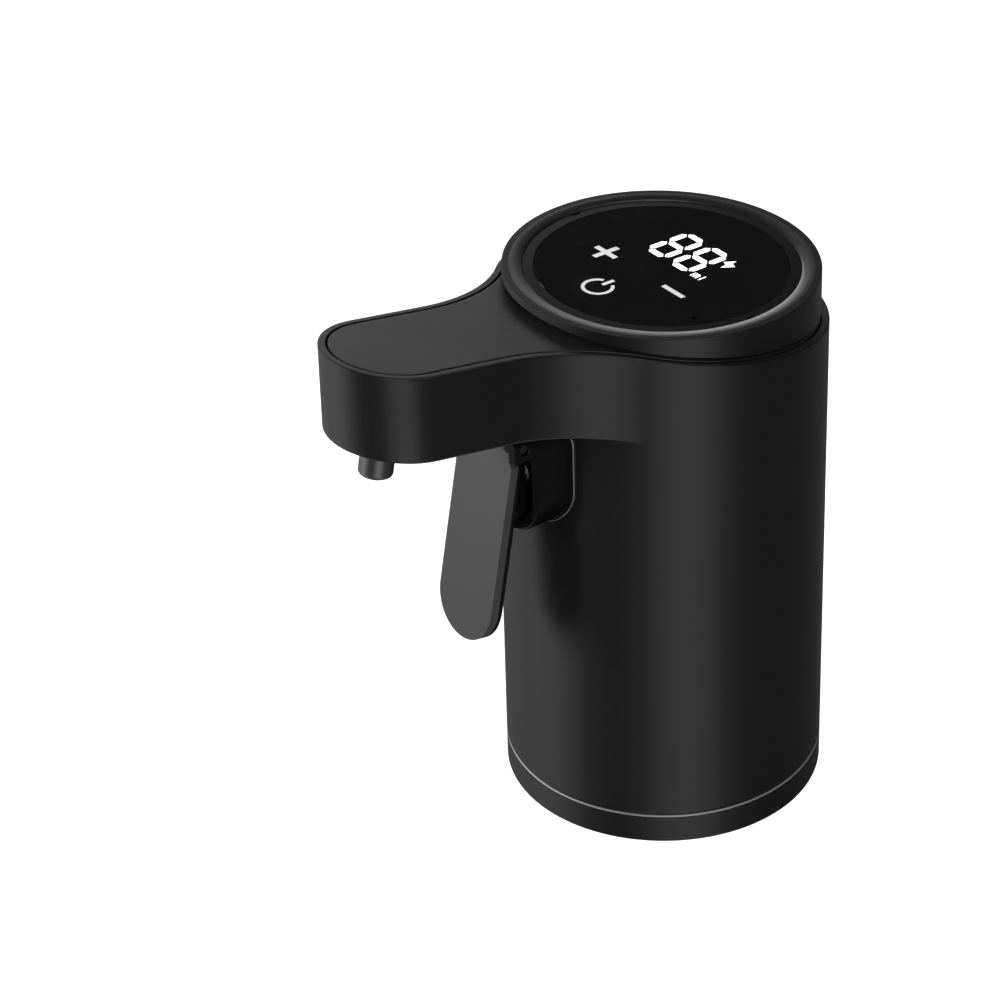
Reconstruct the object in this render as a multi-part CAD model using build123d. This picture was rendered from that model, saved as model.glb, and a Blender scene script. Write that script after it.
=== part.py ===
from build123d import *
import os
from math import acos, atan2, cos, degrees, pi, radians, sin, sqrt, tan

# Automatic wine dispenser that stands on the neck of a bottle.
# Millimetres. The origin is the centre of the base's underside, +Z is up,
# the arm points along -Y and the user's right hand is +X.

# Body and arm, one moulding
body_diameter = 52.0
top_height = 86.7
arm_slope = 10.4
arm_reach = 51.1
arm_width = 21.5
arm_depth = 14.6
flare_radius = 28.4
wall = 2.2
arm_floor = 2.0
rim_width = 1.2
edge_round = 0.25
post_radius = 2.5
post_height = 15.0
post_web = 2.4

# Base cover
base_height = 5.2
base_plate = 2.2
base_chamfer = 0.4
groove_gap = 0.25
collar_wall = 1.5
lip_height = 1.4
lip_wall = 0.7

# Neck socket and stopper
neck_bore = 31.0
socket_wall = 1.9
socket_land = 11.0
socket_relief = 0.4
socket_flange = 1.6
socket_depth = 28.5
socket_roof = 3.5
gasket_thickness = 1.2
gasket_width = 4.6
plug_tip_height = 13.0
plug_top_radius = 9.3
plug_tip_radius = 8.3
plug_rib = 0.5
plug_rib_height = 1.6
plug_ribs = 3
straw_radius = 2.5
straw_depth = 6.0
stem_radius = 2.0
stem_bore = 1.2
stem_flange_radius = 3.4
stem_flange = 1.0
seal_width = 0.9
vent_offset = 6.0
vent_radius = 0.8
valve_radius = 1.8
valve_height = 1.0

# Chassis
chassis_thickness = 2.0
chassis_gap = 0.5
upright_width = 3.0
upright_depth = 3.6
upright_over = 1.0
shelf_width = 13.0
shelf_depth = 6.0
shelf_height = 5.4
shelf_gap = 1.2

# Gear pump
gear_teeth = 10
gear_module = 0.85
gear_height = 4.8
gear_addendum_share = 0.8
gear_pressure_angle = 20.0
gear_backlash = 0.12
gear_clearance = 0.12
pump_offset = 4.0
pump_floor = 1.8
pump_wall = 2.0
pump_lid = 3.0
pump_ear_radius = 2.6
pump_ear_offset = 12.6
port_radius = 1.6
outlet_offset = 16.0
outlet_pad_radius = 3.0
channel_radius = 0.8
idler_radius = 1.2
seal_ring_width = 1.2
seal_ring_height = 1.6

# Motor
motor_radius = 8.0
motor_height = 24.0
motor_wall = 0.8
motor_collar = 1.2
motor_collar_height = 2.5
magnet_thickness = 1.4
armature_radius = 5.2
armature_height = 13.0
shaft_radius = 1.0
end_cap_height = 2.4
terminal_size = 1.6

# Battery
battery_radius = 8.2
battery_height = 34.2
battery_y = 3.0
battery_cap_radius = 2.8
battery_cap_height = 1.0
holder_wall = 1.0
holder_height = 7.0

# Main board, charge board and switch
board_thickness = 1.2
board_margin = 2.47
board_lift = 1.2
board_above = 5.0
board_y = -11.0
chip_size = 5.0
chip_height = 1.0
chip_margin = 1.0
coil_radius = 2.4
coil_height = 2.2
plug_block = 4.4
charge_board_thickness = 1.0
port_width = 8.9
port_height = 3.2
port_depth = 7.3
port_corner = 1.2
port_wall = 0.35
switch_width = 12.8
switch_height = 5.8
switch_depth = 6.5
button_size = 2.0
button_reach = 1.2

# Trigger housing and lever
trigger_width = 17.5
trigger_drop = 14.6
trigger_depth = 6.0
trigger_ear_depth = 9.5
trigger_ear_rise = 1.5
trigger_low_round = 7.5
trigger_high_round = 3.5
trigger_sill = 3.2
trigger_wall = 1.5
trigger_back_depth = 2.4
trigger_edge = 0.8
trigger_lip = 0.45
trigger_lip_depth = 0.5
hinge_depth = 7.6
hinge_rise = 3.4
hinge_radius = 0.75
hinge_inset = 0.4
knuckle_radius = 1.75
knuckle_width = 4.0
lever_tilt = 10.6
lever_width = 13.3
lever_length = 36.0
lever_top = 2.9
lever_lead = 0.44
lever_thickness = 2.6
lever_chamfer = 0.5
lever_corner = 1.0
boss_width = 11.6
boss_above = 5.0
boss_below = 4.0
boss_depth = 5.4
boss_round = 1.2
plunger_drop = 9.5
plunger_radius = 1.2
plunger_head_radius = 2.2
plunger_head = 1.4
plunger_dome = 0.5
guide_radius = 3.7
guide_length = 7.0
guide_floor = 1.4
trigger_screw_x = 5.6
trigger_screw_rise = 3.1
trigger_screw_bite = 4.4

# Nozzle and outlet tube
nozzle_radius = 2.7
nozzle_bore = 1.5
nozzle_reach = 6.3
nozzle_round = 0.7
nozzle_setback = 2.8
nozzle_flange_radius = 4.6
nozzle_flange = 1.2
nozzle_neck = 5.2
barb_radius = 1.7
barb_length = 5.0
barb_height = 4.6
tube_radius = 2.6
tube_bore = 1.75
tube_arm_inset = 2.0
tube_bend_radius = 6.0
tube_arm_bend_radius = 12.0
clip_width = 9.0
clip_length = 4.0
clip_reach = 10.0
nozzle_seal_height = 0.6

# Top cover, crown and display
cover_thickness = 1.6
cover_slit = 0.3
cover_land = 4.8
crown_setback = 1.3
crown_rise = 5.6
crown_slope = 1.9
crown_gap = 0.6
crown_neck_setback = 1.3
crown_flat = 1.35
crown_bevel_drop = 0.3
crown_round = 0.2
crown_skirt = 6.0
crown_skirt_gap = 0.25
crown_skirt_wall = 2.35
crown_rim = 3.2
crown_seat = 4.1
crown_throat_height = 2.0
display_recess = 0.35
lens_thickness = 1.5
lens_gap = 0.1
frame_width = 1.65
notch_width = 1.2
notch_depth = 0.45
pin_hole_radius = 0.5
pin_hole_inset = 2.05
pin_hole_angle = -23.0
display_board_gap = 0.2
display_board_thickness = 1.2
digit_block_width = 12.2
digit_block_depth = 9.8
digit_block_x = -0.4
digit_block_y = 5.6
pad_radius = 2.9
pad_wire = 0.5
plus_x = 8.1
plus_y = -4.4
power_inset = 6.0

# Screws
base_screw = 1.1
small_screw = 0.8
screw_head_share = 1.75
screw_seat_share = 2.0
screw_drive_share = 0.55
base_screw_length = 12.0
chassis_screw_length = 4.6
pump_screw_length = 10.0
crown_screw_length = 5.0
chassis_screw_circle = 13.5

# Fits
part_gap = 0.15
seat_gap = 0.05
running_gap = 0.06
thread_gap = 0.03
overrun = 1.0

# Places worked out from the sizes above
body_radius = body_diameter / 2
inner_radius = body_radius - wall
half_arm = arm_width / 2
slope = radians(arm_slope)
bore_radius = neck_bore / 2
reach_all = 4 * (arm_reach + body_radius)
socket_radius = bore_radius + socket_wall
socket_flange_radius = inner_radius - lip_wall - 2 * part_gap
post_circle = socket_radius + 2 * part_gap + post_radius
chassis_radius = inner_radius - chassis_gap
battery_x = chassis_radius - battery_radius - part_gap - holder_wall
shelf_start = inner_radius - shelf_gap - shelf_depth
arm_bottom = top_height - arm_depth
trigger_bottom = arm_bottom - trigger_drop
trigger_ear_bottom = arm_bottom + trigger_ear_rise
trigger_front = body_radius + trigger_depth
trigger_ear_front = body_radius + trigger_ear_depth
trigger_back = body_radius + trigger_back_depth
trigger_screw_z = trigger_bottom + trigger_screw_rise
hinge_y = -(body_radius + hinge_depth)
hinge_z = arm_bottom + hinge_rise
plunger_z = hinge_z - plunger_drop
boss_rear = body_radius + boss_depth
boss_top = plunger_z + boss_above
boss_bottom = plunger_z - boss_below
clip_y = body_radius + clip_reach
tube_arm_start = body_radius - tube_arm_inset
crown_height = top_height + crown_rise
crown_radius = body_radius - crown_setback
crown_neck = crown_radius - crown_neck_setback
cover_opening = body_radius - cover_land
crown_skirt_radius = cover_opening - crown_skirt_gap
crown_bore = crown_skirt_radius - crown_skirt_wall
frame_radius = crown_radius - crown_rim
crown_throat = frame_radius - crown_seat
lens_radius = frame_radius - frame_width - lens_gap
display_board_radius = crown_bore - display_board_gap
power_y = power_inset - display_board_radius
flange_top = base_height + socket_flange
roof_top = socket_depth + socket_roof
chassis_top = roof_top + chassis_thickness
pitch_radius = gear_module * gear_teeth / 2
tip_radius = pitch_radius + gear_addendum_share * gear_module
gear_floor = chassis_top + pump_floor
gear_roof = gear_floor + gear_height + 2 * gear_clearance
pump_top = gear_roof + pump_lid
board_bottom = pump_top + board_lift
board_top = plunger_z + board_above
board_width = 2 * (sqrt(chassis_radius**2 - (upright_depth / 2 - board_y) ** 2) - board_margin)
drive_place = (-pump_offset, pitch_radius)
driven_place = (-pump_offset, -pitch_radius)
post_angles = (90, 210, 330)
chassis_screw_angles = (60, 180, 300)
crown_screw_angles = (20, 90, 160)
crown_screw_radius = (crown_skirt_radius + crown_neck) / 2

# How turned and boxed shapes stand on their own origin
standing = (Align.CENTER, Align.CENTER, Align.MIN)
hanging = (Align.CENTER, Align.CENTER, Align.MAX)


def rod(radius, bottom, top, x=0, y=0):
    """A round bar along Z between two heights."""
    return Pos(x, y, bottom) * Cylinder(radius, top - bottom, align=standing)


def ring(outer, inner, bottom, top, x=0, y=0):
    """A round tube along Z between two heights."""
    return rod(outer, bottom, top, x, y) - rod(inner, bottom - overrun, top + overrun, x, y)


def rod_y(radius, start, end, x, z):
    """A round bar along Y, from the lower y to the higher y."""
    return Pos(x, start, z) * Rot(-90, 0, 0) * Cylinder(radius, end - start, align=standing)


def rod_x(radius, start, end, y, z):
    """A round bar along X, from the lower x to the higher x."""
    return Pos(start, y, z) * Rot(0, 90, 0) * Cylinder(radius, end - start, align=standing)


def block(low, high):
    """A box between its lowest and highest corners."""
    size = [b - a for a, b in zip(low, high)]
    return Pos(*low) * Box(*size, align=(Align.MIN, Align.MIN, Align.MIN))


def ring_places(radius, angles):
    """Places on a circle, at angles counted from +X."""
    return [(radius * cos(radians(a)), radius * sin(radians(a))) for a in angles]


def arm_height(y, drop):
    """Height, at y, of the plane that lies this far below the arm's top."""
    return top_height - drop - y * tan(slope)


def arm_frame(y, drop):
    """Axes that lie on an arm plane at y, with Z square to it."""
    return Plane(origin=(0, y, arm_height(y, drop)), x_dir=(1, 0, 0),
        z_dir=(0, sin(slope), cos(slope))).location


def under_arm(drop):
    """All the space below an arm plane."""
    return arm_frame(0, drop) * Box(reach_all, reach_all, reach_all, align=hanging)


def arm_slab(top_drop, bottom_drop):
    """The space between two arm planes."""
    return under_arm(top_drop) - under_arm(bottom_drop)


def crown_frame(drop=0):
    """Axes on the crown's top plane, or this far under it."""
    tilt = radians(crown_slope)
    top = Plane(origin=(0, 0, crown_height), x_dir=(1, 0, 0), z_dir=(0, sin(tilt), cos(tilt)))
    return top.location * Pos(0, 0, -drop)


def plan(inset):
    """The body and arm seen from above, moved in by an inset."""
    radius = body_radius - inset
    half = half_arm - inset
    flare = flare_radius + inset
    flare_x = half_arm + flare_radius
    flare_y = -sqrt((body_radius + flare_radius) ** 2 - flare_x**2)
    meet = degrees(atan2(flare_y, flare_x))
    turn = 180 - (180 + meet)
    edges = [
        CenterArc((0, -arm_reach), half, 180, 180),
        Line((half, -arm_reach), (half, flare_y)),
        CenterArc((flare_x, flare_y), flare, 180, -turn),
        CenterArc((0, 0), radius, meet, 180 - 2 * meet),
        CenterArc((-flare_x, flare_y), flare, 0, turn),
        Line((-half, flare_y), (-half, -arm_reach)),
    ]
    return make_face(edges)


def screw(radius, length):
    """A socket screw along -Z, with its head's seat at zero."""
    head_radius = screw_head_share * radius
    head_height = radius
    body = rod(head_radius, 0, head_height) + rod(radius, -length, 0)
    socket = extrude(RegularPolygon(screw_drive_share * head_radius, 6), head_height)
    return body - Pos(0, 0, head_height / 2) * socket


def main_housing():
    """Cylinder and arm as one shell, open below and above."""
    skirt = base_height + groove_gap
    tall = top_height + arm_reach
    outer = rod(body_radius, skirt, tall) & under_arm(0)
    outer += extrude(plan(0), tall) & arm_slab(0, arm_depth)
    upward = Axis((0, 0, 0), (0, sin(slope), cos(slope)))
    top_face = outer.faces().filter_by(GeomType.PLANE).sort_by(upward)[-1]
    outer = fillet(top_face.edges(), edge_round)
    cavity = rod(inner_radius, 0, tall) & under_arm(cover_thickness)
    cavity += extrude(plan(wall), tall) & arm_slab(cover_thickness, arm_depth - arm_floor)
    recess = extrude(plan(rim_width), tall) - under_arm(cover_thickness)
    shell = outer - cavity - recess
    for angle, place in zip(post_angles, ring_places(post_circle, post_angles)):
        post = rod(post_radius, flange_top, flange_top + post_height, *place)
        web = block((post_circle, -post_web / 2, flange_top),
            (inner_radius + wall / 2, post_web / 2, flange_top + post_height))
        shell += post + Rot(0, 0, angle) * web
        shell -= rod(base_screw + thread_gap, 0, flange_top + post_height - wall, *place)
    shell -= rod_y(guide_radius + part_gap, -body_radius - overrun, -inner_radius + wall, 0, plunger_z)
    for side in (-1, 1):
        shell -= rod_y(small_screw + part_gap, -body_radius, -inner_radius + wall,
            side * trigger_screw_x, trigger_screw_z)
    shell -= charge_opening()
    shell -= arm_frame(nozzle_y(), arm_depth) * rod(nozzle_radius + part_gap, -arm_floor, 2 * arm_floor)
    return shell


def nozzle_y():
    """Where the nozzle's axis meets the underside of the arm."""
    return -arm_reach - nozzle_setback


def base_cover():
    """Bottom ring with a collar round the neck and three screw bosses."""
    cover = rod(body_radius, 0, base_height)
    top_edge = cover.edges().sort_by(Axis.Z)[-1]
    cover = chamfer(top_edge, base_chamfer)
    cover -= ring(inner_radius, bore_radius + collar_wall, base_plate, base_height + overrun)
    for place in ring_places(post_circle, post_angles):
        cover += rod(post_radius, base_plate, base_height, *place)
    lip_outer = inner_radius - part_gap
    cover += ring(lip_outer, lip_outer - lip_wall, base_plate, base_height + lip_height)
    cover += ring(inner_radius + collar_wall / 2, lip_outer - lip_wall, base_plate, base_height)
    cover -= rod(bore_radius, -overrun, base_height + overrun)
    head_radius = screw_head_share * base_screw
    for place in ring_places(post_circle, post_angles):
        cover -= rod(base_screw + part_gap, -overrun, base_height + overrun, *place)
        cover -= rod(head_radius + part_gap, -overrun, screw_seat_share * base_screw, *place)
    return cover


def neck_socket():
    """Cup that the neck of the bottle goes into."""
    cup = rod(socket_radius, base_height, roof_top)
    cup += rod(socket_flange_radius, base_height, flange_top)
    cup -= rod(bore_radius, base_height - overrun, socket_land + overrun)
    cup -= rod(bore_radius + socket_relief, socket_land, socket_depth)
    for place in ring_places(post_circle, post_angles):
        cup -= rod(base_screw + part_gap, base_height - overrun, flange_top + overrun, *place)
    for place in ring_places(chassis_screw_circle, chassis_screw_angles):
        depth = chassis_screw_length - chassis_thickness + thread_gap
        cup -= rod(small_screw + thread_gap, roof_top - depth, roof_top + overrun, *place)
    cup -= rod(stem_flange_radius + part_gap, roof_top - stem_flange, roof_top + overrun)
    cup -= rod(stem_radius + seal_width, roof_top - stem_flange - seal_width, roof_top)
    cup -= rod(stem_radius + part_gap, socket_depth - overrun, roof_top)
    cup -= rod(vent_radius, socket_depth - overrun, roof_top, 0, -vent_offset)
    cup -= rod(valve_radius + part_gap, roof_top - valve_height - seat_gap, roof_top + overrun, 0,
        -vent_offset)
    return cup


def base_screws():
    """Three screws that hold the base cover, the socket and the housing."""
    seat = screw_seat_share * base_screw
    return [Pos(x, y, seat) * Rot(180, 0, 0) * screw(base_screw, base_screw_length)
            for x, y in ring_places(post_circle, post_angles)]


def lip_gasket():
    """Flat ring that the lip of the bottle presses on."""
    outer = bore_radius + socket_relief - part_gap
    return ring(outer, outer - gasket_width, socket_depth - gasket_thickness, socket_depth)


def bottle_plug():
    """Soft ribbed stopper with a bore for the stem and one for the straw."""
    height = socket_depth - plug_tip_height
    plug = Pos(0, 0, plug_tip_height) * Cone(plug_tip_radius, plug_top_radius, height, align=standing)
    pitch = height / (plug_ribs + 1)
    for count in range(plug_ribs):
        middle = plug_tip_height + pitch * (count + 1)
        share = (middle - plug_tip_height) / height
        radius = plug_tip_radius + (plug_top_radius - plug_tip_radius) * share + plug_rib
        low = middle - plug_rib_height / 2
        rib = Pos(0, 0, low) * Cone(radius - plug_rib, radius, plug_rib_height, align=standing)
        plug += rib
    plug -= rod(straw_radius, plug_tip_height - overrun, plug_tip_height + straw_depth)
    plug -= rod(stem_radius + seat_gap, plug_tip_height, socket_depth + overrun)
    plug -= rod(vent_radius, plug_tip_height - overrun, socket_depth + overrun, 0, -vent_offset)
    return plug


def intake_stem():
    """Stiff pipe from the stopper up to the pump's inlet."""
    low = plug_tip_height + straw_depth + part_gap
    stem = rod(stem_radius, low, chassis_top)
    stem += rod(stem_flange_radius, roof_top - stem_flange, roof_top)
    return stem - rod(stem_bore, low - overrun, chassis_top + overrun)


def stem_seal():
    """Square ring under the stem's flange."""
    low = roof_top - stem_flange - seal_width
    return ring(stem_radius + seal_width, stem_radius, low, roof_top - stem_flange)


def vent_valve():
    """Small soft valve that lets air into the bottle."""
    low = roof_top - valve_height
    valve = rod(valve_radius, low, roof_top, 0, -vent_offset)
    return valve - rod(vent_radius, low - overrun, low + valve_height / 2, 0, -vent_offset)


def pump_plan():
    """Outline of the pump: round both gears, with an ear at each end."""
    radius = tip_radius + gear_clearance + pump_wall
    face = Circle(radius) + Pos(0, 2 * pitch_radius) * Circle(radius)
    face = Pos(0, -pitch_radius) * face + Rectangle(2 * radius, 2 * pitch_radius)
    for side in (-1, 1):
        face += Pos(0, side * pump_ear_offset) * Circle(pump_ear_radius)
    return Pos(-pump_offset, 0) * face


def chassis():
    """Plate on the socket's roof that carries everything inside."""
    plate = rod(chassis_radius, roof_top, chassis_top)
    holder = battery_radius + part_gap + holder_wall
    cup = rod(holder, chassis_top, chassis_top + holder_height, battery_x, battery_y)
    plate += cup & rod(chassis_radius, roof_top, roof_top + reach_all)
    plate -= rod(battery_radius + part_gap, chassis_top, chassis_top + holder_height + overrun,
        battery_x, battery_y)
    slot = board_thickness / 2 + part_gap
    for side in (-1, 1):
        near = board_width / 2 - upright_width / 2
        xs = sorted((side * near, side * (near + upright_width)))
        upright = block((xs[0], board_y - upright_depth / 2, roof_top),
            (xs[1], board_y + upright_depth / 2, board_top + upright_over))
        edge = board_width / 2 + part_gap
        cut = block((-edge, board_y - slot, board_bottom),
            (edge, board_y + slot, board_top + upright_over + overrun))
        plate += upright - cut
    plate += block((-shelf_width / 2, shelf_start, roof_top),
        (shelf_width / 2, shelf_start + shelf_depth, chassis_top + shelf_height))
    for place in ring_places(chassis_screw_circle, chassis_screw_angles):
        plate -= rod(small_screw + part_gap, roof_top - overrun, chassis_top + overrun, *place)
    for side in (-1, 1):
        place = (-pump_offset, side * pump_ear_offset)
        plate -= rod(small_screw + part_gap, roof_top - overrun, chassis_top + overrun, *place)
        plate -= rod(screw_head_share * small_screw + part_gap, roof_top - overrun,
            roof_top + small_screw, *place)
    plate -= rod(vent_radius, roof_top - overrun, chassis_top + overrun, 0, -vent_offset)
    return plate - rod(stem_radius + part_gap, roof_top - overrun, chassis_top + overrun)


def chassis_screws():
    """Three screws from the chassis into the socket's roof."""
    return [Pos(x, y, chassis_top) * screw(small_screw, chassis_screw_length)
            for x, y in ring_places(chassis_screw_circle, chassis_screw_angles)]


def gear_cavity(bottom, top):
    """The room that the two gears turn in."""
    radius = tip_radius + gear_clearance
    return rod(radius, bottom, top, *drive_place) + rod(radius, bottom, top, *driven_place)


def pump_body():
    """Lower half of the pump, with the gears' room and the inlet."""
    body = Pos(0, 0, chassis_top) * extrude(pump_plan(), gear_roof - chassis_top)
    body -= gear_cavity(gear_floor, gear_roof + overrun)
    body -= rod(port_radius, gear_floor, gear_roof + overrun)
    body -= rod(port_radius, gear_floor, gear_roof + overrun, -2 * pump_offset)
    body -= rod(stem_bore, chassis_top - overrun, gear_floor + overrun)
    body -= rod(idler_radius + thread_gap, gear_floor - pump_floor / 2, gear_floor + overrun,
        *driven_place)
    for side in (-1, 1):
        place = (-pump_offset, side * pump_ear_offset)
        body -= rod(small_screw + thread_gap, chassis_top - overrun, gear_roof + overrun, *place)
    return body


def pump_cover():
    """Upper half of the pump, with the outlet pipe and the motor's collar."""
    plate = pump_plan() + Pos(-outlet_offset, 0) * Circle(outlet_pad_radius)
    width = 2 * outlet_pad_radius
    plate += Pos(-(outlet_offset + pump_offset) / 2, 0) * Rectangle(outlet_offset - pump_offset, width)
    lid = Pos(0, 0, gear_roof) * extrude(plate, pump_lid)
    lid += ring(motor_radius + part_gap + motor_collar, motor_radius + part_gap, pump_top - overrun,
                pump_top + motor_collar_height, *drive_place)
    pipe_top = pump_top + barb_length
    lid += rod(barb_radius, pump_top - overrun, pipe_top, -outlet_offset)
    middle = gear_roof + pump_lid / 2
    lid -= rod_x(channel_radius, -outlet_offset, -2 * pump_offset, 0, middle)
    lid -= rod(channel_radius, middle, pipe_top + overrun, -outlet_offset)
    lid -= rod(channel_radius, gear_roof - overrun, middle, -2 * pump_offset)
    lid -= rod(shaft_radius + running_gap, gear_roof - overrun, pump_top + overrun, *drive_place)
    lid -= rod(shaft_radius + seal_ring_width + thread_gap, pump_top - seal_ring_height,
        pump_top + overrun, *drive_place)
    lid -= rod(idler_radius + thread_gap, gear_roof - overrun, middle, *driven_place)
    for side in (-1, 1):
        place = (-pump_offset, side * pump_ear_offset)
        lid -= rod(small_screw + thread_gap, gear_roof - overrun, pump_top - seal_gap_top(), *place)
    return lid


def seal_gap_top():
    """Thickness left above the blind screw holes of the pump cover."""
    return pump_lid / 3


def pump_screws():
    """Two long screws from under the chassis into the pump cover."""
    seat = roof_top + small_screw
    fixing = Rot(180, 0, 0) * screw(small_screw, pump_screw_length)
    return [Pos(-pump_offset, side * pump_ear_offset, seat) * fixing
            for side in (-1, 1)]


def gear_face(bore):
    """Spur gear outline with a tooth on +X; arcs stand for the involutes."""
    pressure = radians(gear_pressure_angle)
    base = pitch_radius * cos(pressure)
    root = 2 * pitch_radius - tip_radius - gear_clearance
    mid_tooth = pi / (2 * gear_teeth) - gear_backlash / (2 * pitch_radius) + tan(pressure) - pressure

    def half_angle(radius):
        roll = acos(min(base / radius, 1))
        return mid_tooth - tan(roll) + roll

    def point(radius, angle):
        return (radius * cos(angle), radius * sin(angle))

    edges = []
    step = 2 * pi / gear_teeth
    for tooth in range(gear_teeth):
        middle = tooth * step
        foot, waist, tip = half_angle(base), half_angle(pitch_radius), half_angle(tip_radius)
        rise = [point(root, middle - foot), point(base, middle - foot),
            point(pitch_radius, middle - waist), point(tip_radius, middle - tip)]
        fall = [point(root, middle + foot), point(base, middle + foot),
            point(pitch_radius, middle + waist), point(tip_radius, middle + tip)]
        edges.append(Line(rise[0], rise[1]))
        edges.append(ThreePointArc(rise[1], rise[2], rise[3]))
        edges.append(ThreePointArc(rise[3], point(tip_radius, middle), fall[3]))
        edges.append(ThreePointArc(fall[3], fall[2], fall[1]))
        edges.append(Line(fall[1], fall[0]))
        edges.append(ThreePointArc(fall[0], point(root, middle + step / 2),
            point(root, middle + step - foot)))
    return make_face(edges) - Circle(bore)


def gear(place, first_tooth, bore):
    """One pump gear, with its first tooth at an angle from +X."""
    low = gear_floor + gear_clearance
    return Pos(*place, low) * Rot(0, 0, first_tooth) * extrude(gear_face(bore), gear_height)


def drive_gear():
    """Gear pressed on the motor's shaft, a tooth towards the other gear."""
    return gear(drive_place, -90, shaft_radius + thread_gap)


def driven_gear():
    """Gear that turns on the idler axle, a gap towards the drive gear."""
    return gear(driven_place, 90 + 180 / gear_teeth, idler_radius + running_gap)


def idler_axle():
    """Fixed axle of the driven gear."""
    return rod(idler_radius, gear_floor - pump_floor / 2 + seat_gap,
        gear_roof + pump_lid / 2 - seat_gap, *driven_place)


def shaft_seal():
    """Soft ring round the motor's shaft."""
    outer = shaft_radius + seal_ring_width
    return ring(outer, shaft_radius + running_gap, pump_top - seal_ring_height + seat_gap, pump_top,
        *drive_place)


def motor_can():
    """Steel can of the motor, open at the top."""
    can = rod(motor_radius, pump_top + seat_gap, pump_top + motor_height, *drive_place)
    can -= rod(motor_radius - motor_wall, pump_top + motor_wall, pump_top + motor_height + overrun,
        *drive_place)
    return can - rod(shaft_radius + running_gap, pump_top - overrun, pump_top + motor_height,
        *drive_place)


def magnet_bottom():
    """Height of the lower end of the magnets."""
    return pump_top + (motor_height - armature_height) / 2


def motor_magnets():
    """Two curved magnets inside the can."""
    outer = motor_radius - motor_wall - seat_gap
    shell = ring(outer, outer - magnet_thickness, magnet_bottom(),
        magnet_bottom() + armature_height, *drive_place)
    gap = block((-motor_radius, -magnet_thickness, 0), (motor_radius, magnet_thickness, reach_all))
    return list((shell - Pos(*drive_place, 0) * gap).solids())


def motor_rotor():
    """Shaft and armature in one, with three pole slots."""
    rotor = rod(armature_radius, magnet_bottom(), magnet_bottom() + armature_height, *drive_place)
    for angle in (0, 120, 240):
        groove = block((armature_radius / 2, -shaft_radius / 2, 0),
            (2 * armature_radius, shaft_radius / 2, reach_all))
        rotor -= Pos(*drive_place, 0) * Rot(0, 0, angle) * groove
    return rotor + rod(shaft_radius, gear_floor + gear_clearance, pump_top + motor_height, *drive_place)


def motor_end_cap():
    """Plastic cap with two terminals on top of the motor."""
    base = pump_top + motor_height
    cap = rod(motor_radius, base, base + end_cap_height, *drive_place)
    cap += rod(motor_radius - motor_wall - part_gap, base - end_cap_height, base, *drive_place)
    cap -= rod(shaft_radius + running_gap, base - end_cap_height - overrun,
        base + end_cap_height / 2, *drive_place)
    for side in (-1, 1):
        x = drive_place[0] + side * motor_radius / 2
        half = terminal_size / 2
        cap += block((x - half, drive_place[1] - half / 2, base),
            (x + half, drive_place[1] + half / 2, base + 2 * end_cap_height))
    return cap


def battery_cell():
    """Round lithium cell with its raised contact."""
    low = chassis_top
    cell = rod(battery_radius, low, low + battery_height, battery_x, battery_y)
    return cell + rod(battery_cap_radius, low, low + battery_height + battery_cap_height, battery_x,
        battery_y)


def main_board():
    """Control board, upright between the chassis posts."""
    half = board_width / 2
    return block((-half, board_y - board_thickness / 2, board_bottom),
        (half, board_y + board_thickness / 2, board_top))


def board_components():
    """Two chips, a coil and a plug block, clear of the switch."""
    front = board_y - board_thickness / 2
    rear = board_y + board_thickness / 2
    low = board_bottom + chip_margin
    near = switch_width / 2 + chip_margin
    side_chip = block((-near - chip_size, front - chip_height, low), (-near, front, low + chip_size))
    rear_chip = block((-chip_size, rear, low), (chip_size, rear + chip_height, low + chip_size))
    coil = rod_y(coil_radius, front - coil_height, front, near + coil_radius, low + coil_radius)
    plug_low = low + chip_size + chip_margin
    plug = block((-near - plug_block, front - plug_block, plug_low),
        (-near, front, plug_low + plug_block))
    return [side_chip, rear_chip, coil, plug]


def charge_board():
    """Small flat board under the charge socket."""
    low = chassis_top + shelf_height
    end = sqrt(inner_radius**2 - (shelf_width / 2) ** 2) - part_gap
    return block((-shelf_width / 2, shelf_start - overrun, low),
        (shelf_width / 2, end, low + charge_board_thickness))


def port_face(grow):
    """Rounded mouth of the charge socket, made larger by grow."""
    return RectangleRounded(port_width + 2 * grow, port_height + 2 * grow, port_corner + grow)


def port_z():
    """Height of the middle of the charge socket."""
    return chassis_top + shelf_height + charge_board_thickness + port_height / 2


def charge_opening():
    """Hole through the back wall for the charge plug."""
    mouth = Plane(origin=(0, inner_radius - wall, port_z()), x_dir=(1, 0, 0), z_dir=(0, 1, 0))
    return extrude(mouth * port_face(part_gap), 3 * wall)


def charge_socket():
    """Metal shell of the charge socket with its inner tongue."""
    end = body_radius - rim_width
    mouth = Plane(origin=(0, end, port_z()), x_dir=(1, 0, 0), z_dir=(0, 1, 0))
    shell = extrude(mouth * port_face(0), -port_depth)
    shell -= extrude(mouth * port_face(-port_wall), -(port_depth - port_wall))
    half = port_width / 2 - port_height / 2
    tongue = block((-half, end - port_depth, port_z() - port_wall),
        (half, end - port_wall, port_z() + port_wall))
    return shell + tongue


def switch_front():
    """The y of the switch's front face."""
    return board_y - board_thickness / 2 - switch_depth


def micro_switch():
    """Switch on the main board, behind the plunger."""
    half = switch_width / 2
    body = block((-half, switch_front(), plunger_z - switch_height / 2),
        (half, board_y - board_thickness / 2, plunger_z + switch_height / 2))
    room = button_size / 2 + running_gap
    return body - block((-room, switch_front() - overrun, plunger_z - room),
        (room, switch_front() + switch_depth / 2, plunger_z + room))


def switch_button():
    """Button of the switch, pushed by the plunger."""
    half = button_size / 2
    return block((-half, switch_front() - button_reach, plunger_z - half),
        (half, switch_front() + button_reach, plunger_z + half))


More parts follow.
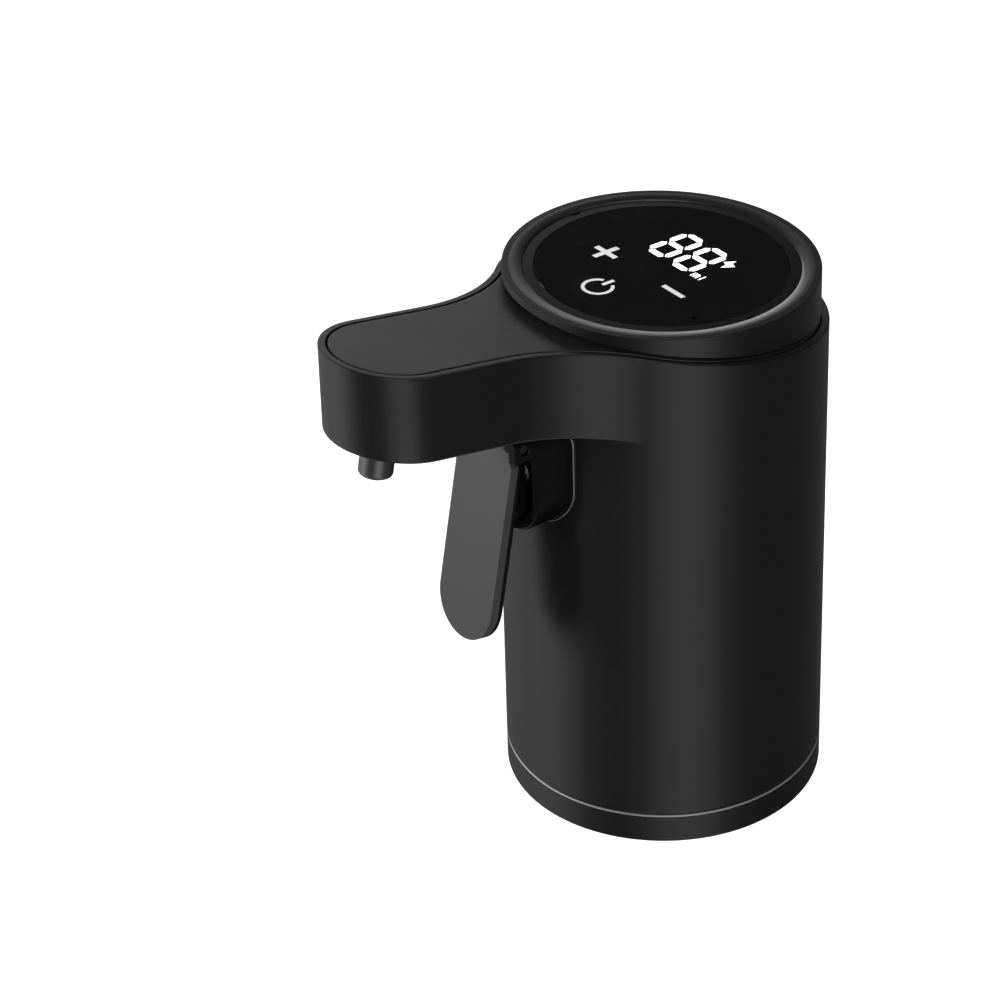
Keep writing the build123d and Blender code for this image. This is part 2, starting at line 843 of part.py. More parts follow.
def trigger_face(grow):
    """Front view of the trigger housing, with large lower corners."""
    half = trigger_width / 2 + grow
    round_low = trigger_low_round + grow
    low = trigger_bottom - grow
    high = top_height + arm_depth
    bend = round_low * (1 - cos(pi / 4))
    edges = [
        Line((-half, high), (half, high)),
        Line((half, high), (half, low + round_low)),
        ThreePointArc((half, low + round_low), (half - bend, low + bend), (half - round_low, low)),
        Line((half - round_low, low), (round_low - half, low)),
        ThreePointArc((round_low - half, low), (bend - half, low + bend), (-half, low + round_low)),
        Line((-half, low + round_low), (-half, high)),
    ]
    front = Plane(origin=(0, 0, 0), x_dir=(1, 0, 0), z_dir=(0, -1, 0))
    return front * make_face(edges)


def trigger_roof(grow):
    """Room under the arm for the trigger housing, with rounded upper corners."""
    room = Box(trigger_width + 2 * grow, reach_all, reach_all, align=hanging)
    upper = room.edges().filter_by(Axis.Y).group_by(Axis.Z)[-1]
    return arm_frame(0, arm_depth) * fillet(upper, trigger_high_round + grow)


def trigger_housing():
    """Box on the front of the body, with cheeks for the hinge pin."""
    box = extrude(trigger_face(0), trigger_ear_front)
    ahead = block((-trigger_width, -trigger_ear_front - overrun, 0),
        (trigger_width, -trigger_front, trigger_ear_bottom))
    box -= ahead
    corner = [e for e in box.edges().filter_by(Axis.Z) if abs(e.center().Y + trigger_front) < seat_gap]
    box = fillet(corner, trigger_edge)
    sill = trigger_bottom + trigger_sill
    hollow = extrude(trigger_face(-trigger_wall), trigger_ear_front + overrun)
    box -= hollow & block((-trigger_width, -trigger_ear_front - overrun, sill),
        (trigger_width, -trigger_back, reach_all))
    box &= trigger_roof(0)
    lip = extrude(trigger_face(trigger_lip), trigger_ear_front) & trigger_roof(trigger_lip)
    box += lip & rod(body_radius + trigger_lip_depth, 0, reach_all)
    box -= rod(body_radius + seat_gap, 0, reach_all)
    guide_end = -trigger_back + guide_length
    box += rod_y(guide_radius, -trigger_back, guide_end, 0, plunger_z)
    box -= rod_y(plunger_head_radius + part_gap, -trigger_back - overrun, guide_end - guide_floor,
        0, plunger_z)
    box -= rod_y(plunger_radius + running_gap, -trigger_back, guide_end + overrun, 0, plunger_z)
    box -= rod_x(hinge_radius + thread_gap, -trigger_width, trigger_width, hinge_y, hinge_z)
    for side in (-1, 1):
        place = (side * trigger_screw_x, trigger_screw_z)
        box -= rod_y(small_screw + thread_gap, -body_radius - trigger_screw_bite, 0, *place)
    return box


def trigger_screws():
    """Two screws from inside the body into the trigger housing."""
    edge_x = trigger_screw_x + screw_head_share * small_screw
    seat = -sqrt(inner_radius**2 - edge_x**2)
    length = body_radius + trigger_screw_bite + seat - part_gap
    return [Pos(side * trigger_screw_x, seat, trigger_screw_z) * Rot(-90, 0, 0) * screw(small_screw,
        length)
            for side in (-1, 1)]


def hinge_pin():
    """Steel pin across the two cheeks."""
    half = trigger_width / 2 - hinge_inset
    return rod_x(hinge_radius, -half, half, hinge_y, hinge_z)


def lever_frame():
    """Axes at the hinge, with -Z down along the lever."""
    return Pos(0, hinge_y, hinge_z) * Rot(-lever_tilt, 0, 0)


def trigger_lever():
    """Paddle with a round end, two knuckles and a boss behind it."""
    half = lever_width / 2
    low = half - lever_length
    cut = lever_corner
    edges = [
        Line((-half + cut, -lever_top), (half - cut, -lever_top)),
        Line((half - cut, -lever_top), (half, -lever_top - cut)),
        Line((half, -lever_top - cut), (half, low)),
        ThreePointArc((half, low), (0, low - half), (-half, low)),
        Line((-half, low), (-half, -lever_top - cut)),
        Line((-half, -lever_top - cut), (-half + cut, -lever_top)),
    ]
    front = Plane(origin=(0, -lever_lead, 0), x_dir=(1, 0, 0), z_dir=(0, -1, 0))
    plate = extrude(front * make_face(edges), -lever_thickness)
    rear = plate.faces().sort_by(Axis.Y)[-1]
    plate = chamfer(rear.edges(), lever_chamfer)
    for side in (-1, 1):
        xs = sorted((side * (half - lever_corner), side * (half - lever_corner - knuckle_width)))
        plate += rod_x(knuckle_radius, xs[0], xs[1], 0, 0)
        plate += block((xs[0], -lever_lead, -lever_top - lever_thickness), (xs[1], knuckle_radius, 0))
    lever = lever_frame() * plate
    rear_y = hinge_y + lever_thickness / 2
    boss = block((-boss_width / 2, rear_y - lever_thickness, boss_bottom),
        (boss_width / 2, -boss_rear, boss_top))
    under = boss.edges().filter_by(Axis.X).group_by(Axis.Z)[0].sort_by(Axis.Y)[-1]
    boss = fillet(under, boss_round)
    lead_face = lever_frame() * block((-lever_width, -lever_lead + lever_thickness / 2,
        -lever_length), (lever_width, reach_all, lever_length))
    lever += boss & lead_face
    return lever - rod_x(hinge_radius + running_gap, -lever_width, lever_width, hinge_y, hinge_z)


def switch_plunger():
    """Push rod from the lever's boss to the switch, with a domed head."""
    tip = -boss_rear + part_gap
    rear = switch_front() - button_reach - seat_gap
    head = rod_y(plunger_head_radius, tip + plunger_dome, tip + plunger_dome + plunger_head, 0, plunger_z)
    dome_radius = (plunger_head_radius**2 + plunger_dome**2) / (2 * plunger_dome)
    ball = Pos(0, tip + dome_radius, plunger_z) * Sphere(dome_radius)
    head += ball & rod_y(plunger_head_radius, tip - overrun, tip + plunger_dome, 0, plunger_z)
    return head + rod_y(plunger_radius, tip + plunger_dome, rear, 0, plunger_z)


def plunger_spring():
    """Return spring round the push rod."""
    start = -boss_rear + part_gap + plunger_dome + plunger_head
    end = -trigger_back + guide_length - guide_floor
    outer = plunger_head_radius
    inner = plunger_radius + part_gap
    return rod_y(outer, start, end, 0, plunger_z) - rod_y(inner, start - overrun, end + overrun, 0,
        plunger_z)


def nozzle():
    """Short spout with a flange inside the arm and a side pipe."""
    body = rod(nozzle_radius, -nozzle_reach, nozzle_neck + arm_floor)
    body = fillet(body.edges().sort_by(Axis.Z)[0], nozzle_round)
    low = arm_floor + nozzle_seal_height
    body += rod(nozzle_flange_radius, low, low + nozzle_flange)
    pipe = arm_floor + barb_height
    body += rod_y(barb_radius, 0, nozzle_radius + barb_length, 0, pipe)
    body -= rod(nozzle_bore, -nozzle_reach - overrun, pipe)
    body -= rod_y(channel_radius, 0, nozzle_radius + barb_length + overrun, 0, pipe)
    return arm_frame(nozzle_y(), arm_depth) * body


def nozzle_seal():
    """Soft washer under the nozzle's flange."""
    return arm_frame(nozzle_y(), arm_depth) * ring(nozzle_flange_radius, nozzle_radius + part_gap,
        arm_floor, arm_floor + nozzle_seal_height)


def tube_arm_z(y):
    """Height of the tube's middle inside the arm."""
    rise = (arm_floor + barb_height) / cos(slope)
    return arm_height(y, arm_depth) + rise


def outlet_tube():
    """Soft tube from the pump cover to the nozzle's side pipe."""
    end = nozzle_y() + (nozzle_radius + part_gap) * cos(slope) + (arm_floor + barb_height) * sin(slope)
    route = [
        (-outlet_offset, 0, pump_top + seat_gap),
        (-outlet_offset, 0, tube_arm_z(0)),
        (0, -tube_arm_start, tube_arm_z(-tube_arm_start)),
        (0, end, tube_arm_z(end)),
    ]
    path = FilletPolyline(*route, radius=[tube_bend_radius, tube_arm_bend_radius])
    tube = sweep(Plane(route[0]) * Circle(tube_radius), path=path)
    bore = sweep(Plane(route[0]) * Circle(tube_bore), path=path)
    return tube - bore


def tube_clip():
    """Saddle that holds the tube on the floor of the arm."""
    middle = arm_floor + barb_height
    body = block((-clip_width / 2, -clip_length / 2, arm_floor),
        (clip_width / 2, clip_length / 2, middle))
    body -= rod_y(tube_radius + seat_gap, -clip_length, clip_length, 0, middle)
    return arm_frame(-clip_y, arm_depth) * body


def top_cover():
    """Panel on the arm, with a round opening for the display."""
    tall = top_height + arm_reach
    panel = extrude(plan(rim_width + cover_slit), tall) & arm_slab(0, cover_thickness)
    panel -= rod(cover_opening, 0, reach_all)
    for place in ring_places(crown_screw_radius, crown_screw_angles):
        panel -= rod(small_screw + part_gap, 0, reach_all, *place)
    return panel


def crown_ring():
    """Raised round bezel that carries the display."""
    high = crown_frame() * Box(reach_all, reach_all, reach_all, align=hanging)
    wide = rod(crown_radius, 0, reach_all) & high
    rim = wide.faces().sort_by(Axis.Z)[-1].edges()
    wide = fillet(rim, crown_round)
    wide -= under_arm(-crown_gap)
    neck = (rod(crown_neck, 0, reach_all) & high & (crown_frame() * rod(crown_neck, -reach_all,
        -crown_round))) - under_arm(0)
    skirt = crown_frame() * rod(crown_skirt_radius, -crown_skirt, -crown_round)
    body = wide + neck + skirt
    seat = display_recess + lens_thickness
    body -= crown_frame() * rod(frame_radius + part_gap / 2, -seat, reach_all)
    body -= crown_frame() * rod(crown_throat, -reach_all, reach_all)
    body -= crown_frame() * rod(crown_bore, -reach_all, -seat - crown_throat_height)
    top = crown_radius - crown_flat
    bevel = Pos(0, 0, -crown_bevel_drop) * Cone(frame_radius + part_gap / 2, top, crown_bevel_drop,
        align=standing)
    body -= crown_frame() * bevel
    for x, y in ring_places(crown_screw_radius, crown_screw_angles):
        low = arm_height(y, 0)
        body -= rod(small_screw + thread_gap, 0,
            low + crown_screw_length - cover_thickness + part_gap, x, y)
    return body


def crown_screws():
    """Three screws from under the top cover into the crown."""
    made = []
    for x, y in ring_places(crown_screw_radius, crown_screw_angles):
        seat = arm_height(y, cover_thickness) - screw_head_share * small_screw * tan(slope)
        made.append(Pos(x, y, seat) * Rot(180, 0, 0) * screw(small_screw, crown_screw_length))
    return made


def display_frame():
    """Flat ring round the lens, with two notches on the cross axis."""
    low = -display_recess - lens_thickness
    frame = ring(frame_radius, lens_radius + lens_gap, low, -display_recess)
    for side in (-1, 1):
        xs = sorted((side * (frame_radius - notch_depth), side * (frame_radius + overrun)))
        frame -= block((xs[0], -notch_width / 2, low - overrun), (xs[1], notch_width / 2, 0))
    return crown_frame() * frame


def display_lens():
    """Dark clear disc over the display, with a pin hole."""
    low = -display_recess - lens_thickness
    lens = rod(lens_radius, low, -display_recess)
    place = ring_places(lens_radius - pin_hole_inset, [pin_hole_angle])[0]
    return crown_frame() * (lens - rod(pin_hole_radius, low - overrun, 0, *place))


def display_board_top():
    """Depth of the display board's upper face under the crown's top."""
    return display_recess + lens_thickness + crown_throat_height


def display_board():
    """Round board under the lens."""
    top = -display_board_top()
    return crown_frame() * rod(display_board_radius, top - display_board_thickness, top)


def digit_module():
    """Block that holds the two lit digits."""
    low = -display_board_top()
    high = -display_recess - lens_thickness - seat_gap
    half_x, half_y = digit_block_width / 2, digit_block_depth / 2
    body = block((digit_block_x - half_x, digit_block_y - half_y, low),
        (digit_block_x + half_x, digit_block_y + half_y, high))
    return crown_frame() * body


def touch_springs():
    """Three contacts under the touch signs of the lens."""
    low = -display_board_top()
    high = -display_recess - lens_thickness - seat_gap
    places = ((-plus_x, plus_y), (plus_x, plus_y), (0, power_y))
    return [crown_frame() * ring(pad_radius, pad_radius - pad_wire, low, high,
        *place) for place in places]


pieces = {
    "main_housing": main_housing,
    "base_cover": base_cover,
    "neck_socket": neck_socket,
    "base_screws": base_screws,
    "lip_gasket": lip_gasket,
    "bottle_plug": bottle_plug,
    "intake_stem": intake_stem,
    "stem_seal": stem_seal,
    "vent_valve": vent_valve,
    "chassis": chassis,
    "chassis_screws": chassis_screws,
    "pump_body": pump_body,
    "pump_cover": pump_cover,
    "pump_screws": pump_screws,
    "drive_gear": drive_gear,
    "driven_gear": driven_gear,
    "idler_axle": idler_axle,
    "shaft_seal": shaft_seal,
    "motor_can": motor_can,
    "motor_magnets": motor_magnets,
    "motor_rotor": motor_rotor,
    "motor_end_cap": motor_end_cap,
    "battery_cell": battery_cell,
    "main_board": main_board,
    "board_components": board_components,
    "charge_board": charge_board,
    "charge_socket": charge_socket,
    "micro_switch": micro_switch,
    "switch_button": switch_button,
    "trigger_housing": trigger_housing,
    "trigger_screws": trigger_screws,
    "hinge_pin": hinge_pin,
    "trigger_lever": trigger_lever,
    "switch_plunger": switch_plunger,
    "plunger_spring": plunger_spring,
    "nozzle": nozzle,
    "nozzle_seal": nozzle_seal,
    "outlet_tube": outlet_tube,
    "tube_clip": tube_clip,
    "top_cover": top_cover,
    "crown_ring": crown_ring,
    "crown_screws": crown_screws,
    "display_frame": display_frame,
    "display_lens": display_lens,
    "display_board": display_board,
    "digit_module": digit_module,
    "touch_springs": touch_springs,
}

os.makedirs("parts", exist_ok=True)
for name, make in pieces.items():
    made = make()
    solids = made if isinstance(made, list) else made.solids()
    shape = solids[0] if len(solids) == 1 else Compound(children=list(solids))
    export_step(shape, "parts/" + name + ".step")
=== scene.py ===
import bmesh
import bpy
from math import atan2, cos, hypot, pi, radians, sin, sqrt, tan
from mathutils import Matrix, Vector


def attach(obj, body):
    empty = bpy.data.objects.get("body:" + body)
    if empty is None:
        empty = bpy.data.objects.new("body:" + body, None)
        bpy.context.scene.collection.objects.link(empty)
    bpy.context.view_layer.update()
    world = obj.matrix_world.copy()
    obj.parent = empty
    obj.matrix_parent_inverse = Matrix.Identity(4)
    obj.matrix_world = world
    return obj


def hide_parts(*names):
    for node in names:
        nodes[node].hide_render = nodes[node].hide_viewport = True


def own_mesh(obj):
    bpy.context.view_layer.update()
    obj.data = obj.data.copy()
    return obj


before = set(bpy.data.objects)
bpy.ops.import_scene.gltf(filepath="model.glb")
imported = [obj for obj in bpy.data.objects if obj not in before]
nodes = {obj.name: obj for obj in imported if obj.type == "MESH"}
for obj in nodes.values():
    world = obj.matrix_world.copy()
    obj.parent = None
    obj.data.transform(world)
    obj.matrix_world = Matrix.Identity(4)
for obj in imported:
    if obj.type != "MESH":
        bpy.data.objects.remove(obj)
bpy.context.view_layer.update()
scene = bpy.context.scene

# Camera. It stands to the right of the arm, well above it and half a metre off,
# behind a long lens, so the body's sides stay almost parallel.
camera = bpy.data.objects.new("camera", bpy.data.cameras.new("camera"))
camera.data.sensor_width = 36
camera.data.lens = 133.39
camera.data.clip_start = 0.01
camera.data.clip_end = 50
look = Vector((-0.68099, 0.49664, -0.53814)).normalized()
side = Vector((0.60240, 0.79777, -0.02605)).normalized()
over = side.cross(look).normalized()
stand = Matrix.Translation((0.388746, -0.315692, 0.369123))
camera.matrix_world = stand @ Matrix((side, over, -look)).transposed().to_4x4()
scene.collection.objects.link(camera)
scene.camera = camera
scene.view_settings.view_transform = "Standard"

# Floor and surroundings. A wide sheet of white paper lies under the base, and the
# pale walls of the studio fade into a dim ceiling high above it.
def linked(tree, kind, inputs=(), **values):
    """New node; its inputs are linked or given a number, and the rest is set by name."""
    node = tree.nodes.new(kind)
    for key, value in values.items():
        if key in node.inputs:
            node.inputs[key].default_value = value
        else:
            setattr(node, key, value)
    for source, target in inputs:
        if isinstance(source, (int, float)):
            node.inputs[target].default_value = source
        else:
            tree.links.new(source, node.inputs[target])
    return node


def worked(tree, operation, *terms):
    """Output of a math node that works on sockets and numbers."""
    inputs = [(term, place) for place, term in enumerate(terms)]
    return linked(tree, "ShaderNodeMath", inputs, operation=operation).outputs[0]


paper_color = (0.44, 0.44, 0.44, 1)
paper_glow = 0.76
half_sheet = 6
paper = bpy.data.materials.new("paper")
paper.use_nodes = True
sheet_tree = paper.node_tree
sheet_face = sheet_tree.nodes["Principled BSDF"]
sheet_face.inputs["Base Color"].default_value = paper_color
sheet_face.inputs["Roughness"].default_value = 0.9
sheet_face.inputs["Specular IOR Level"].default_value = 0.0
sheet_rays = sheet_tree.nodes.new("ShaderNodeLightPath")
level = worked(sheet_tree, "MULTIPLY", sheet_rays.outputs["Is Camera Ray"], paper_glow)
glow = linked(sheet_tree, "ShaderNodeEmission", [(level, "Strength")])
both = linked(sheet_tree, "ShaderNodeAddShader", [(sheet_face.outputs[0], 0), (glow.outputs[0], 1)])
sheet_tree.links.new(both.outputs[0], sheet_tree.nodes["Material Output"].inputs["Surface"])
sheet_mesh = bpy.data.meshes.new("floor")
sheet_corners = [(x * half_sheet, y * half_sheet, 0) for x, y in ((-1, -1), (1, -1), (1, 1), (-1, 1))]
sheet_mesh.from_pydata(sheet_corners, [], [(0, 1, 2, 3)])
sheet_mesh.materials.append(paper)
floor = bpy.data.objects.new("floor", sheet_mesh)
scene.collection.objects.link(floor)

white = (1, 1, 1, 1)
fill_level = 0.3
wall_level, wall_end = 0.55, 0.14
ceiling_level, ceiling_start = 0.04, 0.30
studio = bpy.data.worlds.new("studio")
studio.use_nodes = True
scene.world = studio
air = studio.node_tree
fill = air.nodes["Background"]
fill.inputs["Color"].default_value = white
fill.inputs["Strength"].default_value = fill_level
direction = air.nodes.new("ShaderNodeTexCoord")
split = linked(air, "ShaderNodeSeparateXYZ", [(direction.outputs["Generated"], 0)])
fade = linked(air, "ShaderNodeMapRange", [(split.outputs["Z"], "Value"), (wall_end, "From Min"),
    (ceiling_start, "From Max"), (wall_level, "To Min"), (ceiling_level, "To Max")], interpolation_type="SMOOTHSTEP")
rays = air.nodes.new("ShaderNodeLightPath")
brightest = worked(air, "MAXIMUM", rays.outputs["Is Camera Ray"], fade.outputs[0])
walls = linked(air, "ShaderNodeBackground", [(brightest, "Strength")], Color=white)
mirrored = worked(air, "MAXIMUM", rays.outputs["Is Camera Ray"], rays.outputs["Is Glossy Ray"])
seen = worked(air, "MAXIMUM", mirrored, rays.outputs["Is Transmission Ray"])
choose = linked(air, "ShaderNodeMixShader", [(seen, 0), (fill.outputs[0], 1), (walls.outputs[0], 2)])
air.links.new(choose.outputs[0], air.nodes["World Output"].inputs["Surface"])


# Lamps. Upright soft boxes stand round the table and one hangs over it, which
# draws the soft bands down the round body.
lamp_aim = Vector((0, 0, 0.05))


def softbox(name, azimuth, elevation, distance, width, height, radiance):
    """Area lamp of an even brightness that faces the middle of the object."""
    lamp = bpy.data.lights.new(name, "AREA")
    lamp.shape = "RECTANGLE"
    lamp.size = width
    lamp.size_y = height
    lamp.energy = radiance * pi * width * height
    box = bpy.data.objects.new(name, lamp)
    a, e = radians(azimuth), radians(elevation)
    away = Vector((cos(a) * cos(e), sin(a) * cos(e), sin(e)))
    turned_in = away.to_track_quat("Z", "Y").to_matrix().to_4x4()
    box.matrix_world = Matrix.Translation(away * distance + lamp_aim) @ turned_in
    box.visible_camera = False
    scene.collection.objects.link(box)


softbox("key_box", -24, 12, 0.9, 0.60, 0.36, 33)
softbox("left_box", -116, 12, 0.9, 0.56, 0.36, 27)
softbox("rim_box", -151, 12, 0.9, 0.58, 0.36, 9)
softbox("back_box", 152, 16, 1.0, 0.44, 0.20, 3.8)
softbox("top_box", 60, 78, 1.3, 0.9, 0.9, 1.6)


# Base cover. The bottom ring is moulded in the body's black plastic. It has a collar
# round its opening and a lip that locates it in the body, and three screws hold it.
def shader_group(name, inputs, outputs):
    """Empty node group with named number inputs and named outputs."""
    group = bpy.data.node_groups.new(name, "ShaderNodeTree")
    for label, value in inputs.items():
        socket = group.interface.new_socket(label, in_out="INPUT", socket_type="NodeSocketFloat")
        socket.default_value = value
    for label, kind in outputs.items():
        group.interface.new_socket(label, in_out="OUTPUT", socket_type=kind)
    return group, group.nodes.new("NodeGroupInput"), group.nodes.new("NodeGroupOutput")


# the fine grain that a spark-cut mould leaves, and the slow change of sheen over it
grain, given, result = shader_group("mould_grain",
    {"Size": 0.0003, "Depth": 0.000004, "Roughness": 0.5, "Spread": 0.06},
    {"Normal": "NodeSocketVector", "Roughness": "NodeSocketFloat"})
place = grain.nodes.new("ShaderNodeTexCoord").outputs["Object"]
frequency = worked(grain, "DIVIDE", 1.0, given.outputs["Size"])
specks = linked(grain, "ShaderNodeTexNoise", [(place, "Vector"), (frequency, "Scale")], Detail=3.0, Roughness=0.6)
relief = linked(grain, "ShaderNodeBump", [(specks.outputs["Fac"], "Height"), (given.outputs["Depth"], "Distance")],
    Strength=1.0)
clouds = linked(grain, "ShaderNodeTexNoise", [(place, "Vector")], Scale=90.0, Detail=4.0)
centred = worked(grain, "SUBTRACT", clouds.outputs["Fac"], 0.5)
swing = worked(grain, "MULTIPLY_ADD", centred, given.outputs["Spread"], given.outputs["Roughness"])
grain.links.new(relief.outputs["Normal"], result.inputs["Normal"])
grain.links.new(swing, result.inputs["Roughness"])


def plastic(name, color, roughness, size=0.0003, depth=0.000004, spread=0.06, **sockets):
    """Moulded or drawn material with its grain; the other sockets are set by name."""
    material = bpy.data.materials.new(name)
    material.use_nodes = True
    tree = material.node_tree
    shader = tree.nodes["Principled BSDF"]
    shader.inputs["Base Color"].default_value = (*color, 1)
    for key, value in sockets.items():
        shader.inputs[key.replace("_", " ")].default_value = value
    surface = linked(tree, "ShaderNodeGroup", node_tree=grain, Size=size, Depth=depth, Roughness=roughness,
        Spread=spread)
    for output in ("Normal", "Roughness"):
        tree.links.new(surface.outputs[output], shader.inputs[output])
    return material


def skin(rows, ends_meet):
    """Mesh over rows of points in millimetres that each go round; the last may meet the first."""
    count = len(rows[0])
    points = [Vector(p) * 0.001 for row in rows for p in row]
    quads = []
    for r in range(len(rows) - (0 if ends_meet else 1)):
        a, b = r * count, (r + 1) % len(rows) * count
        for i in range(count):
            j = (i + 1) % count
            quads.append((a + i, a + j, b + j, b + i))
    mesh = bpy.data.meshes.new("skin")
    mesh.from_pydata(points, [], quads)
    return mesh


def turned(profile, steps, axes=Matrix()):
    """Mesh turned from a closed profile of (radius, height) in millimetres."""
    angles = [2 * pi * k / steps for k in range(steps)]
    rows = [[axes @ Vector((radius * cos(a), radius * sin(a), height)) for a in angles] for radius, height in profile]
    return skin(rows, True)


same_point = 0.000002


def merged(mesh):
    """Joins the points of a mesh that lie together and turns its faces outward."""
    shape = bmesh.new()
    shape.from_mesh(mesh)
    bmesh.ops.remove_doubles(shape, verts=shape.verts, dist=same_point)
    bmesh.ops.recalc_face_normals(shape, faces=shape.faces)
    shape.to_mesh(mesh)
    shape.free()
    return mesh


def settled(piece):
    """Plain mesh of a piece with its modifiers worked in."""
    bpy.context.view_layer.update()
    graph = bpy.context.evaluated_depsgraph_get()
    mesh = bpy.data.meshes.new_from_object(piece.evaluated_get(graph), preserve_all_data_layers=True,
        depsgraph=graph)
    piece.modifiers.clear()
    return mesh


def cut(mesh, cutters):
    """The mesh with closed shapes taken out of it."""
    for cutter in cutters:
        whole = bpy.data.objects.new("whole", merged(mesh))
        tool = bpy.data.objects.new("tool", merged(cutter))
        scene.collection.objects.link(whole)
        scene.collection.objects.link(tool)
        hole = whole.modifiers.new("hole", "BOOLEAN")
        hole.object = tool
        hole.solver = "EXACT"
        hole.operation = "DIFFERENCE"
        mesh = settled(whole)
        bpy.data.objects.remove(whole)
        bpy.data.objects.remove(tool)
    return mesh


def made(name, mesh, material, body, replaced, bevel=0.0, sharp=32, edge=None):
    """Piece from a mesh: merged, edges rounded with even shading, riding on its body."""
    mesh = merged(mesh)
    mesh.materials.clear()
    mesh.materials.append(material)
    # a given edge material goes on the rounded faces; on the trigger box it is a painted highlight
    if edge:
        mesh.materials.append(edge)
    mesh.shade_smooth()
    mesh.set_sharp_from_angle(angle=radians(sharp))
    piece = bpy.data.objects.new(name, mesh)
    scene.collection.objects.link(piece)
    if bevel:
        soft = piece.modifiers.new("soft_edges", "BEVEL")
        soft.width = bevel
        soft.segments = 3
        soft.limit_method = "ANGLE"
        soft.angle_limit = radians(sharp)
        soft.material = 1 if edge else -1
        soft.use_clamp_overlap = False
        even = piece.modifiers.new("even_faces", "WEIGHTED_NORMAL")
        even.weight = 80
        piece.data = settled(piece)
    piece.data.name = name
    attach(piece, body)
    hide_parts(*replaced)
    return piece


def painted(piece, material, chosen):
    """Gives the faces that a test picks one more material."""
    piece.data.materials.append(material)
    for face in piece.data.polygons:
        if chosen(face):
            face.material_index = len(piece.data.materials) - 1


def pin(radius, low, high, axes, steps=48):
    """Closed round bar in millimetres, along the Z of its axes."""
    return turned([(0, low), (radius, low), (radius, high), (0, high)], steps, axes)


body_radius = 26.0
inner_radius = 23.8
base_height, base_floor = 5.2, 2.2
neck_radius, collar_radius = 15.5, 17.0
lip_radius, lip_bore, lip_height = 23.65, 22.95, 6.6
post_circle = 20.2
screw_recess = 2.075
posts = [Vector((post_circle * cos(radians(a)), post_circle * sin(radians(a)), 0)) for a in (90, 210, 330)]
body_black = plastic("body_black", (0.0012, 0.0012, 0.0013), 0.62, depth=0.000001,
    Specular_IOR_Level=0.115, Anisotropic=0.86, Anisotropic_Rotation=0.25)
cover_profile = [(neck_radius, 0), (25.75, 0), (25.93, 0.07), (body_radius, 0.25), (body_radius, 5.0),
    (25.8, base_height), (lip_radius, base_height), (lip_radius, lip_height), (lip_bore, lip_height),
    (lip_bore, base_floor), (collar_radius, base_floor), (collar_radius, base_height), (neck_radius, base_height)]
screw_recesses = [pin(screw_recess, -1, 3, Matrix.Translation(p)) for p in posts]
base_mesh = cut(turned(cover_profile, 240), screw_recesses)
base_ring = made("base_ring", base_mesh, body_black, "body", ["base_cover"], 0.00006)

# painted highlight: a lighter grey on the faces of its upper edge draws the fine light line there
painted_edge_highlight = plastic("painted_edge_highlight", (0.04, 0.04, 0.04), 0.5, depth=0.000001)
edge_low, edge_in = 0.00498, 0.0257
painted(base_ring, painted_edge_highlight, lambda face: face.center.z > edge_low and 0.2 < face.normal.z < 0.98
    and hypot(face.center.x, face.center.y) > edge_in)


# Base screws. Three steel socket screws go up through the base cover and the neck
# socket's flange into the posts of the body.
def geometry_tree(name, inputs):
    """Empty geometry tree with named inputs, and its input and output nodes."""
    tree = bpy.data.node_groups.new(name, "GeometryNodeTree")
    tree.interface.new_socket("Geometry", in_out="INPUT", socket_type="NodeSocketGeometry")
    for label, (kind, value) in inputs.items():
        socket = tree.interface.new_socket(label, in_out="INPUT", socket_type=kind)
        if value is not None:
            socket.default_value = value
    tree.interface.new_socket("Geometry", in_out="OUTPUT", socket_type="NodeSocketGeometry")
    return tree, tree.nodes.new("NodeGroupInput"), tree.nodes.new("NodeGroupOutput")


def grown(name, tree, values):
    """Plain mesh of what a geometry tree makes with these input values."""
    seed = bpy.data.objects.new(name, bpy.data.meshes.new(name))
    scene.collection.objects.link(seed)
    rule = seed.modifiers.new("rule", "NODES")
    rule.node_group = tree
    for item in tree.interface.items_tree:
        if item.in_out == "INPUT" and item.name in values:
            rule[item.identifier] = values[item.name]
    bpy.context.view_layer.update()
    mesh = bpy.data.meshes.new_from_object(seed.evaluated_get(bpy.context.evaluated_depsgraph_get()))
    bpy.data.objects.remove(seed)
    return mesh


steel = plastic("steel", (0.58, 0.58, 0.59), 0.28, size=0.0006, depth=0.000002, Metallic=1.0)
screws, size_in, made_out = geometry_tree("ring_of_screws", {
    "Circle": ("NodeSocketFloat", 0.02), "Count": ("NodeSocketInt", 3), "Seat": ("NodeSocketFloat", 0.002),
    "Radius": ("NodeSocketFloat", 0.001), "Length": ("NodeSocketFloat", 0.01),
    "Material": ("NodeSocketMaterial", None)})
head_per_shank, drive_per_head = 1.75, 0.55
shank_radius = size_in.outputs["Radius"]
head_radius = worked(screws, "MULTIPLY", shank_radius, head_per_shank)
drive_radius = worked(screws, "MULTIPLY", head_radius, drive_per_head)
half_head = worked(screws, "MULTIPLY", shank_radius, -0.5)
half_length = worked(screws, "MULTIPLY", size_in.outputs["Length"], 0.5)


def cylinder(radius, depth, sides):
    """Mesh of an upright cylinder about the middle of the tree."""
    sizes = [(radius, "Radius"), (depth, "Depth")]
    return linked(screws, "GeometryNodeMeshCylinder", sizes, Vertices=sides).outputs["Mesh"]


def raised(geometry, height, turn=0.0):
    """Geometry turned about the vertical and then moved up."""
    offset = linked(screws, "ShaderNodeCombineXYZ", [(height, "Z")])
    inputs = [(geometry, "Geometry"), (offset.outputs[0], "Translation")]
    return linked(screws, "GeometryNodeTransform", inputs, Rotation=(0, 0, turn)).outputs[0]


